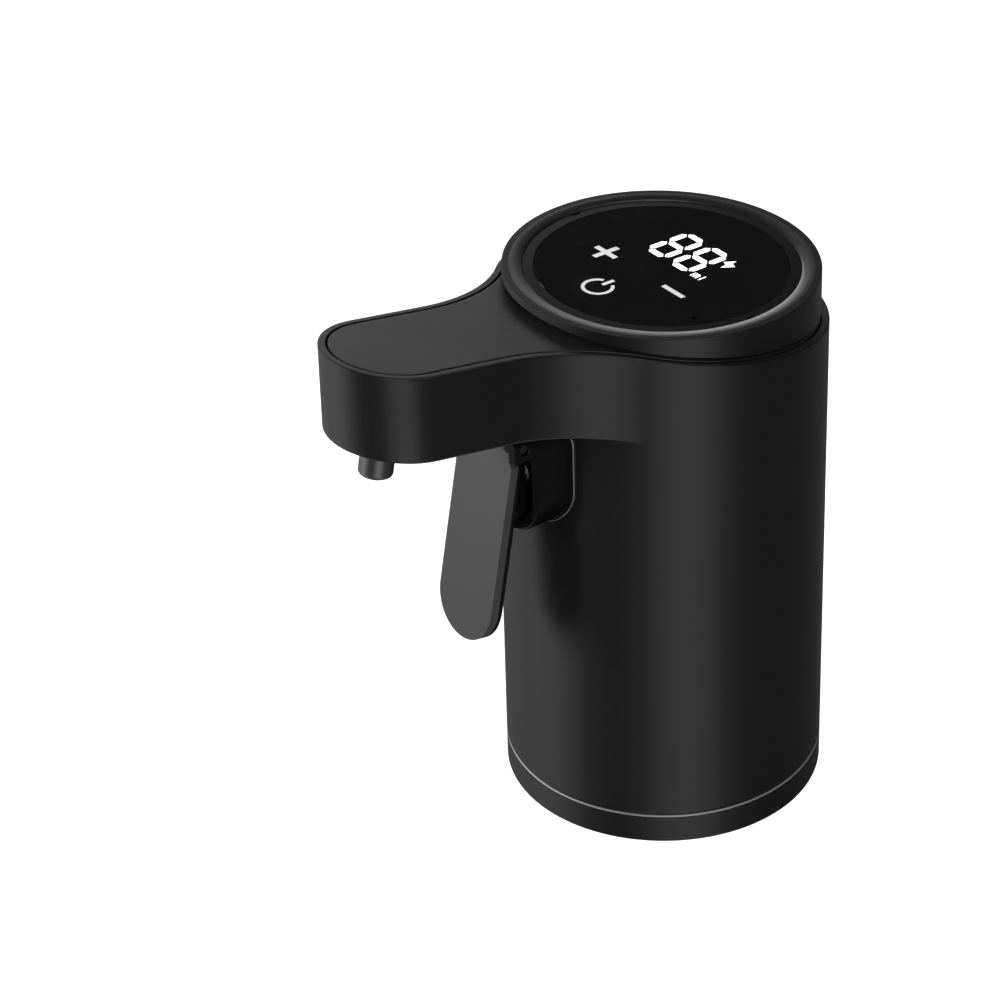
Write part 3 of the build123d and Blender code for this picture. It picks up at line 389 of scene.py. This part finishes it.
socket_hole = raised(cylinder(drive_radius, shank_radius, 6), half_head)
hollow_head = linked(screws, "GeometryNodeMeshBoolean",
    [(cylinder(head_radius, shank_radius, 48), "Mesh 1"), (socket_hole, "Mesh 2")], operation="DIFFERENCE")
screw_parts = screws.nodes.new("GeometryNodeJoinGeometry")
screws.links.new(raised(cylinder(shank_radius, size_in.outputs["Length"], 32), half_length), screw_parts.inputs[0])
screws.links.new(raised(hollow_head.outputs["Mesh"], half_head), screw_parts.inputs[0])
circle = linked(screws, "GeometryNodeMeshCircle",
    [(size_in.outputs["Count"], "Vertices"), (size_in.outputs["Circle"], "Radius")])
spots = raised(circle.outputs["Mesh"], size_in.outputs["Seat"], pi / 2)
copies = linked(screws, "GeometryNodeInstanceOnPoints", [(spots, "Points"), (screw_parts.outputs[0], "Instance")])
solid = linked(screws, "GeometryNodeRealizeInstances", [(copies.outputs[0], "Geometry")])
dressed = linked(screws, "GeometryNodeSetMaterial",
    [(solid.outputs[0], "Geometry"), (size_in.outputs["Material"], "Material")])
screws.links.new(dressed.outputs[0], made_out.inputs[0])
screw_sizes = {"Circle": 0.0202, "Count": 3, "Seat": 0.0022, "Radius": 0.0011, "Length": 0.012, "Material": steel}
screw_mesh = grown("base_screw_set", screws, screw_sizes)
made("base_screw_set", screw_mesh, steel, "body", ["base_screws"], 0.00008, 40)


# Neck socket, gasket and stopper. The grey cup is open at the base and screwed up into
# the body, a soft washer seals its roof, and the ribbed silicone stopper hangs in it.
def dress(material, *names):
    """Gives CAD nodes a material."""
    for name in names:
        nodes[name].data.materials.clear()
        nodes[name].data.materials.append(material)


inner_grey = plastic("inner_grey", (0.33, 0.33, 0.34), 0.5, size=0.0005, depth=0.000006)
silicone = plastic("silicone", (0.70, 0.70, 0.68), 0.55, size=0.0008, depth=0.000004,
    Subsurface_Weight=0.2, Subsurface_Scale=0.002)
soft_black = plastic("soft_black", (0.02, 0.02, 0.02), 0.75, size=0.0005, depth=0.000006)
white_plastic = plastic("white_plastic", (0.76, 0.76, 0.73), 0.42, size=0.0006, depth=0.000003)
dress(inner_grey, "neck_socket", "pump_body", "pump_cover")
dress(silicone, "bottle_plug")
dress(soft_black, "lip_gasket", "stem_seal", "vent_valve", "shaft_seal", "nozzle_seal")
dress(white_plastic, "intake_stem", "drive_gear", "driven_gear", "switch_button", "digit_module")

# Chassis, pump and motor. A black carrier holds the gear pump, and the small motor
# in its steel can stands on the pump's cover.
inner_black = plastic("inner_black", (0.035, 0.035, 0.036), 0.55, size=0.0005, depth=0.000006)
motor_steel = plastic("motor_steel", (0.52, 0.52, 0.53), 0.36, size=0.0008, depth=0.000003, Metallic=1.0)
magnet_grey = plastic("magnet_grey", (0.10, 0.10, 0.11), 0.6, size=0.0004, depth=0.000008)
copper = plastic("copper", (0.72, 0.36, 0.18), 0.3, size=0.0003, depth=0.00001, Metallic=1.0)
dress(inner_black, "chassis", "motor_end_cap", "tube_clip")
dress(steel, "chassis_screws", "pump_screws", "idler_axle", "trigger_screws", "crown_screws", "touch_springs")
dress(motor_steel, "motor_can")
dress(magnet_grey, "motor_magnets")
dress(copper, "motor_rotor")

# Battery and boards. One lithium cell in its blue sleeve stands beside the motor, and
# the green boards carry the switch, the driver and the charge socket.
sleeve_blue = plastic("sleeve_blue", (0.05, 0.16, 0.42), 0.3, size=0.002, depth=0.000004)
board_green = plastic("board_green", (0.01, 0.11, 0.045), 0.35, size=0.0012, depth=0.00001)
chip_black = plastic("chip_black", (0.02, 0.02, 0.02), 0.6, size=0.0003, depth=0.000006)
dress(sleeve_blue, "battery_cell")
dress(board_green, "main_board", "charge_board", "display_board")
dress(chip_black, "board_components", "micro_switch")

# Body. The cylinder and the arm are one moulding in matt black, with a low rim round
# the top cover. Posts inside take the base screws, and the arm is a shallow channel.
top_height = 86.7
slope = radians(10.4)
arm_reach = 51.1
half_arm = 10.75
arm_depth = 14.6
arm_floor = 2.0
flare = 28.4
groove_top = 5.45
wall = 2.2
rim_width = 1.2
rim_round, rim_sink, lip_round = 0.3, 0.003, 0.12
cover_thickness = 1.6
underside_round = 0.45
fade_length = 9.0


def arm_z(y, drop):
    """Height at y of the plane this far below the arm's top."""
    return top_height - drop - y * tan(slope)


def outline():
    """Points of the plan view with their inward normals, and whether they are on the body."""
    flare_x = half_arm + flare
    flare_y = -sqrt((body_radius + flare) ** 2 - flare_x**2)
    meet = atan2(flare_y, flare_x)
    points = []
    for k in range(48):
        a = pi + pi * k / 48
        points.append((half_arm * cos(a), -arm_reach + half_arm * sin(a), -cos(a), -sin(a), False))
    for k in range(10):
        points.append((half_arm, -arm_reach + (flare_y + arm_reach) * k / 10, -1, 0, False))
    for k in range(36):
        a = pi + meet * k / 36
        points.append((flare_x + flare * cos(a), flare_y + flare * sin(a), cos(a), sin(a), False))
    for k in range(181):
        a = meet + (pi - 2 * meet) * k / 180
        points.append((body_radius * cos(a), body_radius * sin(a), -cos(a), -sin(a), True))
    for k in range(1, 36):
        a = -meet * (1 - k / 36)
        points.append((-flare_x + flare * cos(a), flare_y + flare * sin(a), cos(a), sin(a), False))
    for k in range(10):
        points.append((-half_arm, flare_y - (flare_y + arm_reach) * k / 10, 1, 0, False))
    return points


plan = outline()


def rim(inset, drop):
    """Row round the plan at an inset, on a plane of the arm's top."""
    row = []
    for x, y, nx, ny, _ in plan:
        row.append((x + nx * inset, y + ny * inset, arm_z(y + ny * inset, drop)))
    return row


first = next(i for i, p in enumerate(plan) if p[4])
last = max(i for i, p in enumerate(plan) if p[4])
arm_way = [i % len(plan) for i in range(last, last + len(plan) - (last - first) + 1)]


def front_arc(radius, height):
    """Points on the body under the arm, one for each point of the arm's outline."""
    start = atan2(plan[last][1], plan[last][0]) % (2 * pi)
    end = 2 * pi + atan2(plan[first][1], plan[first][0])
    row = []
    for k in range(len(arm_way)):
        a = start + (end - start) * k / (len(arm_way) - 1)
        x, y = radius * cos(a), radius * sin(a)
        row.append((x, y, height(y)))
    return row


def fade_in(i):
    """Grows from none at the body to one along the arm's outline."""
    x, y = plan[i][:2]
    t = min(1.0, max(0.0, (hypot(x, y) - body_radius) / fade_length))
    return t * t * (3 - 2 * t)


def housing_mesh():
    """Shell of the body and arm, with rounded rims held by close rows."""
    points, quads = [], []

    def add(row):
        points.extend(row)
        return list(range(len(points) - len(row), len(points)))

    def join(a, b, closed=True):
        for i in range(len(a) - (0 if closed else 1)):
            j = (i + 1) % len(a)
            quads.append((a[i], a[j], b[j], b[i]))

    def soft_rim(inset, lift):
        """Row by the underside, where the rounding fades out towards the body."""
        row = []
        for i, (x, y, nx, ny, _) in enumerate(plan):
            grow = fade_in(i)
            move = inset * grow
            row.append((x + nx * move, y + ny * move, arm_z(y + ny * move, arm_depth - lift * grow)))
        return row

    r = underside_round
    quarter = [pi / 2 * k / 5 for k in range(6)]
    wall_rows = [soft_rim(0, r), soft_rim(0, 2 * r), rim(0, 0.5)]
    top = [rim(rim_round * (1 - cos(t)), rim_sink + rim_round * (1 - sin(t))) for t in quarter]
    lip = [rim(0.4, 0), rim(0.95, 0)]
    lip += [rim(rim_width - lip_round * (1 - sin(t)), lip_round * (1 - cos(t))) for t in quarter]
    inner = [rim(rim_width, 0.3), rim(rim_width, cover_thickness), rim(wall, cover_thickness),
        rim(wall, arm_depth - arm_floor)]
    rows = [add(row) for row in wall_rows + top + lip + inner]
    for a, b in zip(rows, rows[1:]):
        join(a, b)
    outer, hollow = rows[0], rows[-1]
    bends = [outer] + [add(soft_rim(r * (1 - cos(t)), r * (1 - sin(t)))) for t in quarter[1:]]
    bends.append(add(soft_rim(2 * r, 0)))
    for a, b in zip(bends, bends[1:]):
        join([a[i] for i in arm_way], [b[i] for i in arm_way], False)
    under = add(front_arc(body_radius, lambda y: arm_z(y, arm_depth)))
    join([bends[-1][i] for i in arm_way], under, False)
    inside = add(front_arc(inner_radius, lambda y: arm_z(y, arm_depth - arm_floor)))
    join([hollow[i] for i in arm_way], inside, False)
    body_way = list(range(first, last + 1))
    ring_out = [outer[i] for i in body_way] + under[1:-1]
    ring_in = [hollow[i] for i in body_way] + inside[1:-1]
    turns = [atan2(points[i][1], points[i][0]) for i in ring_out]
    foot = [(body_radius, 0.3), (body_radius, 0.12), (25.96, 0.04), (25.88, 0), (25.6, 0), (inner_radius, 0)]
    steps = [ring_out]
    for radius, up in foot:
        steps.append(add([(radius * cos(a), radius * sin(a), groove_top + up) for a in turns]))
    for a, b in zip(steps, steps[1:] + [ring_in]):
        join(a, b)
    mesh = bpy.data.meshes.new("housing")
    mesh.from_pydata([Vector(p) * 0.001 for p in points], [], quads)
    return mesh


def upright(x, y, z, down):
    """Axes at a point, with Z along a given direction."""
    return Matrix.Translation((x, y, z)) @ Vector(down).to_track_quat("Z", "Y").to_matrix().to_4x4()


arm_normal = (0, sin(slope), cos(slope))
nozzle_y, nozzle_hole = -53.9, 2.85
switch_height, switch_hole = 66.0, 3.85
port_height, port_half_width, port_half_height = 42.0, 4.6, 1.75
port_corner = 1.35


def port_shape(near, far):
    """Closed bar with the rounded mouth of the charge socket, along Y."""
    loop = []
    for cx, cz, start in ((1, 1, 0), (-1, 1, 1), (-1, -1, 2), (1, -1, 3)):
        for k in range(9):
            a = pi / 2 * (start + k / 8)
            loop.append((cx * (port_half_width - port_corner) + port_corner * cos(a),
                cz * (port_half_height - port_corner) + port_corner * sin(a)))
    rows = [[(x * open_end, y, port_height + z * open_end) for x, z in loop]
        for y, open_end in ((near, 0), (near, 1), (far, 1), (far, 0))]
    return skin(rows, False)


nozzle_axes = upright(0, nozzle_y, arm_z(nozzle_y, arm_depth), arm_normal)
switch_axes = upright(0, 0, switch_height, (0, 1, 0))
shell_holes = [port_shape(21, 28), pin(nozzle_hole, -3, 4, nozzle_axes), pin(switch_hole, -27, -21, switch_axes)]
shell = cut(housing_mesh(), shell_holes)
housing = made("body_and_arm", shell, body_black, "body", ["main_housing"], 0, 30)

# the rim of the arm has the sheen of the panel that lies in it
cover_black = plastic("cover_black", (0.004, 0.004, 0.0042), 0.50, depth=0.000002, Specular_IOR_Level=0.30)
rim_drop = 0.35
painted(housing, cover_black, lambda face: face.normal.z > 0.9
    and face.center.z * 1000 > arm_z(face.center.y * 1000, rim_drop))


# Trigger housing. A glossy black box is screwed to the front of the body from inside.
# Its two cheeks carry the hinge pin, and a thin lip hides the joint with the body.
short_edge = 0.00004
flat_angle = radians(0.3)


def softened(node, name, material, body, bevel, edge=None, seam=None):
    """Piece from a CAD node's shape, with flat faces joined and edges rounded; a seam
    runs round it at that depth behind its largest face."""
    mesh = nodes[node].data.copy()
    shape = bmesh.new()
    shape.from_mesh(mesh)
    bmesh.ops.remove_doubles(shape, verts=shape.verts, dist=short_edge)
    bmesh.ops.dissolve_limit(shape, angle_limit=flat_angle, verts=shape.verts, edges=shape.edges)
    if seam:
        front = max(shape.faces, key=lambda face: face.calc_area())
        behind = front.calc_center_median() - front.normal * seam
        parts = shape.verts[:] + shape.edges[:] + shape.faces[:]
        bmesh.ops.bisect_plane(shape, geom=parts, plane_co=behind, plane_no=front.normal.copy())
    shape.to_mesh(mesh)
    shape.free()
    return made(name, mesh, material, body, [node], bevel, 32, edge)


trigger_black = plastic("trigger_black", (0.0008, 0.0008, 0.0008), 0.24, depth=0.000001, Specular_IOR_Level=0.03)
# painted highlight: this lighter grey first goes on every rounded edge of the box
painted_lip_highlight = plastic("painted_lip_highlight", (0.016, 0.016, 0.016), 0.5, depth=0.000001)
trigger_box = softened("trigger_housing", "trigger_box", trigger_black, "body", 0.00012, painted_lip_highlight)

# painted highlight: only the rounded faces along the outer edge of the lip keep the lighter grey, a thin light line;
# its corners are rounded
lip_front = -0.0275
lip_corner, lip_edge = 0.008, 0.0003
lip_centers = [face.center for face in trigger_box.data.polygons if face.center.y > lip_front]
lip_x = max(center.x for center in lip_centers)
lip_z = min(center.z for center in lip_centers)
for face in trigger_box.data.polygons:
    aside = max(0, abs(face.center.x) - lip_x + lip_corner)
    below = max(0, lip_z + lip_corner - face.center.z)
    if face.center.y < lip_front or hypot(aside, below) < lip_corner - lip_edge:
        face.material_index = 0

# Hinge pin and push rod. A blackened steel pin goes through both cheeks and the
# lever's knuckles; the grey rod behind the lever presses the switch against its spring.
dark_steel = plastic("dark_steel", (0.012, 0.012, 0.013), 0.35, size=0.0004, depth=0.000001, Metallic=1.0)
dress(dark_steel, "hinge_pin")
dress(inner_grey, "switch_plunger")

# Lever. A flat plastic paddle with a round end hangs from the pin, satin black in front
# and gloss black behind. It is pushed back by hand or by what is held under the nozzle.
lever_black = plastic("lever_black", (0.0075, 0.0075, 0.0078), 0.45, depth=0.000002, Specular_IOR_Level=0.18)
satin_depth = 0.0014
glass_lever = softened("trigger_lever", "glass_lever", lever_black, "lever", 0.00012, seam=satin_depth)
paddle = max(glass_lever.data.polygons, key=lambda face: face.area)
paddle_center, paddle_normal = paddle.center.copy(), paddle.normal.copy()
painted(glass_lever, trigger_black, lambda face: (paddle_center - face.center).dot(paddle_normal) > satin_depth)

# Spring of the push rod. Round steel wire in open coils between the rod's head and
# the bottom of its guide; the real spring shortens as the lever goes back, but this one is built at one length.
coil, coil_in, coil_out = geometry_tree("coil_spring", {
    "Radius": ("NodeSocketFloat", 0.002), "Length": ("NodeSocketFloat", 0.006), "Turns": ("NodeSocketFloat", 6.0),
    "Wire": ("NodeSocketFloat", 0.0002), "Start": ("NodeSocketVector", (0, 0, 0)),
    "Material": ("NodeSocketMaterial", None)})
helix = linked(coil, "GeometryNodeCurveSpiral", [(coil_in.outputs["Turns"], "Rotations"),
    (coil_in.outputs["Radius"], "Start Radius"), (coil_in.outputs["Radius"], "End Radius"),
    (coil_in.outputs["Length"], "Height")], Resolution=32)
section = linked(coil, "GeometryNodeCurvePrimitiveCircle", [(coil_in.outputs["Wire"], "Radius")], Resolution=10)
wire = linked(coil, "GeometryNodeCurveToMesh",
    [(helix.outputs["Curve"], "Curve"), (section.outputs["Curve"], "Profile Curve")])
wire.inputs["Fill Caps"].default_value = True
laid = linked(coil, "GeometryNodeTransform",
    [(wire.outputs["Mesh"], "Geometry"), (coil_in.outputs["Start"], "Translation")], Rotation=(-pi / 2, 0, 0))
wound = linked(coil, "GeometryNodeSetMaterial",
    [(laid.outputs[0], "Geometry"), (coil_in.outputs["Material"], "Material")])
coil.links.new(wound.outputs[0], coil_out.inputs[0])
spring_sizes = {"Radius": 0.00195, "Length": 0.006, "Turns": 6.0, "Wire": 0.00022, "Start": (0.0, -0.02908, 0.066),
    "Material": steel}
spring_mesh = grown("rod_spring", coil, spring_sizes)
spring = made("rod_spring", spring_mesh, steel, "body", ["plunger_spring"], 0, 40)
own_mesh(spring)

# Nozzle. A short round spout with a turned-in lip is pushed through the floor of the
# arm from inside, and the soft outlet tube is on its side pipe.
nozzle_black = plastic("nozzle_black", (0.004, 0.004, 0.0042), 0.5, depth=0.000001,
    Specular_IOR_Level=0.23, Anisotropic=0.8, Anisotropic_Rotation=0.25)
softened("nozzle", "spout", nozzle_black, "body", 0.0001)
tube_clear = plastic("tube_clear", (0.66, 0.66, 0.64), 0.35, size=0.001, depth=0.000004)
dress(tube_clear, "outlet_tube")

# Charge socket. A drawn steel shell sits in the wall at the back, a little below the
# surface, with its black tongue inside.
charge_shell = softened("charge_socket", "charge_shell", steel, "body", 0.00006)
tongue_half_height, tongue_half_width, tongue_foot = 0.0004, 0.003, 0.019
painted(charge_shell, chip_black, lambda face: abs(face.center.z - port_height * 0.001) < tongue_half_height
    and abs(face.center.x) < tongue_half_width and face.center.y > tongue_foot)

# Top cover. A satin panel lies in the rim of the arm with a hair's gap all round it,
# and its round opening is under the crown.
cover_inset = 1.5
panel_round = 0.12
opening = 21.2


def cover_mesh():
    """Panel between the arm's outline and the round opening."""
    angles = [0.0] * len(plan)
    for i in range(first, last + 1):
        angles[i] = atan2(plan[i][1], plan[i][0])
    start, end = angles[last] % (2 * pi), 2 * pi + angles[first]
    for k, i in enumerate(arm_way[1:-1], 1):
        angles[i] = start + (end - start) * k / (len(arm_way) - 1)

    def round_row(radius, drop):
        return [(radius * cos(a), radius * sin(a), arm_z(radius * sin(a), drop)) for a in angles]

    turn = [pi / 2 * k / 3 for k in range(4)]
    rows = [rim(cover_inset, cover_thickness), rim(cover_inset, 0.3)]
    rows += [rim(cover_inset + panel_round * (1 - cos(t)), panel_round * (1 - sin(t))) for t in turn]
    rows += [rim(cover_inset + 0.3, 0), round_row(opening, 0), round_row(opening, cover_thickness)]
    return skin(rows, True)


made("arm_panel", cover_mesh(), cover_black, "body", ["top_cover"], 0, 40)

# Crown. The raised ring round the display is one black moulding: a flat edge, a
# shallow bevel down to the lens, and a skirt that is screwed down through the cover.
crown_side = plastic("crown_side", (0.0012, 0.0012, 0.0013), 0.60, depth=0.000001,
    Specular_IOR_Level=0.11, Anisotropic=0.87, Anisotropic_Rotation=0.25)
crown_face = plastic("crown_face", (0.003, 0.003, 0.0032), 0.44, depth=0.000001, Specular_IOR_Level=0.11)
crown_bevel = plastic("crown_bevel", (0.002, 0.002, 0.0022), 0.3, depth=0.0000003, Specular_IOR_Level=0.6)
crown_top = 92.3
tilt = radians(1.9)
crown_axes = Matrix.Translation((0, 0, crown_top)) @ Matrix.Rotation(-tilt, 4, "X")
crown_radius, crown_neck, crown_edge = 24.7, 23.4, 0.08
bevel_radius, bevel_width, bevel_drop = 23.6, 1.7, 0.17
frame_seat, seat_depth, ledge_bore, ledge_depth = 21.575, 1.85, 17.4, 3.85
skirt_bore, skirt_radius, skirt_depth = 18.6, 20.95, 6.0
round_steps = [2 * pi * k / 288 for k in range(288)]


def crown_mesh():
    """Ring whose top lies on the crown's plane and whose foot lies on the arm's."""
    def tilted(radius, drop):
        return [crown_axes @ Vector((radius * cos(a), radius * sin(a), -drop)) for a in round_steps]

    def level(radius, drop):
        """Round about the body's axis, this far under the crown's plane."""
        row = []
        for a in round_steps:
            x, y = radius * cos(a), radius * sin(a)
            row.append(Vector((x, y, crown_top - y * tan(tilt) - drop)))
        return row

    def on_arm(radius, rise):
        return [Vector((radius * cos(a), radius * sin(a), arm_z(radius * sin(a), -rise))) for a in round_steps]

    def lower(row, other):
        return [Vector((p.x, p.y, min(p.z, q.z))) for p, q in zip(row, other)]

    turn = [pi / 2 * k / 4 for k in range(5)]
    rows = [on_arm(crown_radius, 0.72), on_arm(crown_radius, 0.9), level(crown_radius, 0.5)]
    rows += [level(crown_radius - crown_edge * (1 - cos(t)), crown_edge * (1 - sin(t))) for t in turn]
    rows += [level(24.5, 0)]
    rows += [tilted(bevel_radius - bevel_width * k / 8, bevel_drop * (k / 8) ** 2) for k in range(9)]
    rows += [tilted(radius, drop) for radius, drop in ((21.8, 0.2), (21.7, 0.255), (21.61, 0.325), (frame_seat, 0.36),
        (frame_seat, seat_depth), (ledge_bore, seat_depth), (ledge_bore, ledge_depth), (skirt_bore, ledge_depth))]
    rows += [lower(tilted(radius, skirt_depth), on_arm(radius, 0.0)) for radius in (skirt_bore, skirt_radius)]
    rows += [on_arm(radius, rise) for radius, rise in ((skirt_radius, 0.001), (crown_neck, 0.001), (crown_neck, 0.6),
        (24.58, 0.6))]
    return skin(rows, True)


crown = made("crown", crown_mesh(), crown_side, "body", ["crown_ring"], 0, 34)
bevel_out = 0.0236
for finish, outside in ((crown_face, True), (crown_bevel, False)):
    painted(crown, finish, lambda face: face.normal.z > 0.8
        and (hypot(face.center.x, face.center.y) > bevel_out) == outside)

# Display frame. A thin gloss ring is pressed round the lens, and the moulding gate
# leaves a small notch on each side of it.
gloss_black = plastic("gloss_black", (0.0022, 0.0022, 0.0024), 0.2, depth=0.000001, spread=0.04,
    Specular_IOR_Level=0.25)
frame_radius, frame_bore = 21.5, 19.85
frame_low, frame_high = -1.85, -0.35
notch_depth, notch_half_width = 0.45, 0.6
fine_edge = 0.02


def frame_mesh():
    """Flat ring, turned, with its outside set back at the two notches."""
    steps = [2 * pi * k / 720 for k in range(720)]

    def outer(inset, height):
        row = []
        for a in steps:
            notched = abs(sin(a)) * frame_radius < notch_half_width
            radius = frame_radius - (notch_depth if notched else 0) - inset
            row.append(crown_axes @ Vector((radius * cos(a), radius * sin(a), height)))
        return row

    def inner(radius, height):
        return [crown_axes @ Vector((radius * cos(a), radius * sin(a), height)) for a in steps]

    return skin([outer(0, frame_low), outer(0, frame_high - fine_edge), outer(fine_edge, frame_high),
        inner(frame_bore + fine_edge, frame_high), inner(frame_bore, frame_high - fine_edge),
        inner(frame_bore, frame_low)], True)


made("lens_frame", frame_mesh(), gloss_black, "body", ["display_frame"], 0, 30)

# Lens. A disc of tinted acrylic with a polished face lies over the display, with one
# pin hole for the buzzer and light finger marks on it.
lens_black = bpy.data.materials.new("lens_black")
lens_black.use_nodes = True
lens_tree = lens_black.node_tree
lens_face = lens_tree.nodes["Principled BSDF"]
lens_face.inputs["Base Color"].default_value = (0.0022, 0.0022, 0.0024, 1)
lens_face.inputs["Specular IOR Level"].default_value = 0.35
marks, marks_in, marks_out = shader_group("finger_marks", {"Size": 0.006, "Least": 0.05, "Most": 0.12},
    {"Roughness": "NodeSocketFloat"})
marks_place = marks.nodes.new("ShaderNodeTexCoord")
marks_frequency = worked(marks, "DIVIDE", 1.0, marks_in.outputs["Size"])
smears = linked(marks, "ShaderNodeTexNoise",
    [(marks_place.outputs["Object"], "Vector"), (marks_frequency, "Scale")], Detail=5.0, Roughness=0.55, Distortion=0.6)
marked = linked(marks, "ShaderNodeMapRange", [(smears.outputs["Fac"], "Value"), (0.35, "From Min"), (0.75, "From Max"),
    (marks_in.outputs["Least"], "To Min"), (marks_in.outputs["Most"], "To Max")], interpolation_type="SMOOTHSTEP")
marks.links.new(marked.outputs[0], marks_out.inputs["Roughness"])
smudges = linked(lens_tree, "ShaderNodeGroup", node_tree=marks)
lens_tree.links.new(smudges.outputs["Roughness"], lens_face.inputs["Roughness"])
lens_radius = 19.75
lens_profile = [(0, frame_low), (lens_radius, frame_low), (lens_radius, frame_high - fine_edge),
    (lens_radius - fine_edge, frame_high), (lens_radius - 0.3, frame_high), (0, frame_high)]
buzzer_circle, buzzer_hole = 17.7, 0.5
buzzer_turn = radians(-23)
buzzer_place = Matrix.Translation((buzzer_circle * cos(buzzer_turn), buzzer_circle * sin(buzzer_turn), 0))
disc = cut(turned(lens_profile, 240, crown_axes), [pin(buzzer_hole, -3, 1, crown_axes @ buzzer_place, 32)])
made("lens", disc, lens_black, "body", ["display_lens"], 0, 30)

# Lit signs. Two digits of seven bars, the unit and the charge mark shine white through
# the lens, and the touch keys beside them are paler grey.
lit_white = plastic("lit_white", (0.8, 0.8, 0.8), 0.5, depth=0.000001)
lit_grey = plastic("lit_grey", (0.30, 0.30, 0.31), 0.5, depth=0.000001)
for shade, tint, strength in ((lit_white, white, 0.9), (lit_grey, (0.95, 0.97, 1, 1), 0.34)):
    lamp_face = shade.node_tree.nodes["Principled BSDF"]
    lamp_face.inputs["Emission Color"].default_value = tint
    lamp_face.inputs["Emission Strength"].default_value = strength
sign_low, sign_high = -0.36, -0.33


def plate(strokes):
    """Thin flat strokes on the lens, each from two equal edges of points in millimetres."""
    mesh = bpy.data.meshes.new("signs")
    points, quads = [], []
    for one, other in strokes:
        start = len(points)
        for a, b in zip(one, other):
            for (x, y), height in ((a, sign_low), (a, sign_high), (b, sign_high), (b, sign_low)):
                points.append(crown_axes @ Vector((x, y, height)) * 0.001)
        for k in range(len(one) - 1):
            for c in range(4):
                d = (c + 1) % 4
                quads.append((start + 4 * k + c, start + 4 * k + d, start + 4 * k + 4 + d, start + 4 * k + 4 + c))
        quads.append(tuple(start + c for c in (3, 2, 1, 0)))
        quads.append(tuple(start + 4 * (len(one) - 1) + c for c in range(4)))
    mesh.from_pydata(points, [], quads)
    return mesh


def bar(x0, y0, x1, y1, width):
    """Straight stroke with square ends."""
    length = hypot(x1 - x0, y1 - y0)
    nx, ny = -(y1 - y0) / length * width / 2, (x1 - x0) / length * width / 2
    return [(x0 + nx, y0 + ny), (x1 + nx, y1 + ny)], [(x0 - nx, y0 - ny), (x1 - nx, y1 - ny)]


def bow(cx, cy, radius, start, end, width, steps=40):
    """Arc stroke between two angles in degrees."""
    turns = [radians(start + (end - start) * k / steps) for k in range(steps + 1)]
    radii = (radius + width / 2, radius - width / 2)
    return tuple([(cx + r * cos(a), cy + r * sin(a)) for a in turns] for r in radii)


def led_bar(x0, y0, x1, y1, width):
    """Straight stroke with pointed ends, as on a numeric display."""
    length = hypot(x1 - x0, y1 - y0)
    ux, uy = (x1 - x0) / length, (y1 - y0) / length
    h = width / 2
    middle = [(x0, y0), (x0 + ux * h, y0 + uy * h), (x1 - ux * h, y1 - uy * h), (x1, y1)]
    return tuple([(x - uy * g, y + ux * g) for (x, y), g in zip(middle, (0.0, w, w, 0.0))] for w in (h, -h))


digit_width, unit_width, plus_width, minus_width, power_width = 1.1, 0.24, 0.95, 0.85, 0.56
digits = []
for x0, x1 in ((-5.33, -1.63), (0.46, 4.2)):
    for y in (9.67, 5.71, 1.75):
        digits.append(led_bar(x0 + 0.2, y, x1 - 0.2, y, digit_width))
    for x in (x0, x1):
        digits.append(led_bar(x, 9.43, x, 5.97, digit_width))
        digits.append(led_bar(x, 5.45, x, 1.99, digit_width))
unit = [bar(x, 1.25, x, top, unit_width) for x, top in ((5.42, 2.4), (5.98, 2.12), (6.54, 2.12), (7.3, 2.8))]
unit += [bow(x, 2.12, 0.28, 0, 180, unit_width, 16) for x in (5.7, 6.26)]
mark_left = [(6.2, 9.8), (5.2, 8.1), (6.05, 7.85), (6.3, 6.6)]
mark_right = [(6.2, 9.8), (6.45, 8.8), (7.45, 8.5), (6.3, 6.6)]
lit_signs = plate(digits + unit + [(mark_left, mark_right)])
made("lit_digits", lit_signs, lit_white, "body", [], 0, 30)
plus_key = [bar(-10.72, -4.33, -5.92, -4.33, plus_width), bar(-8.33, -6.72, -8.33, -4.805, plus_width),
    bar(-8.33, -3.855, -8.33, -1.94, plus_width)]
minus_key = [bar(5.5, -4.15, 10.3, -4.15, minus_width)]
power_key = [bow(-0.22, -12.35, 2.3, 118, 422, power_width), bar(-0.28, -11.4, -0.28, -9.15, 0.66)]
made("touch_signs", plate(plus_key + minus_key + power_key), lit_grey, "body", [], 0, 30)
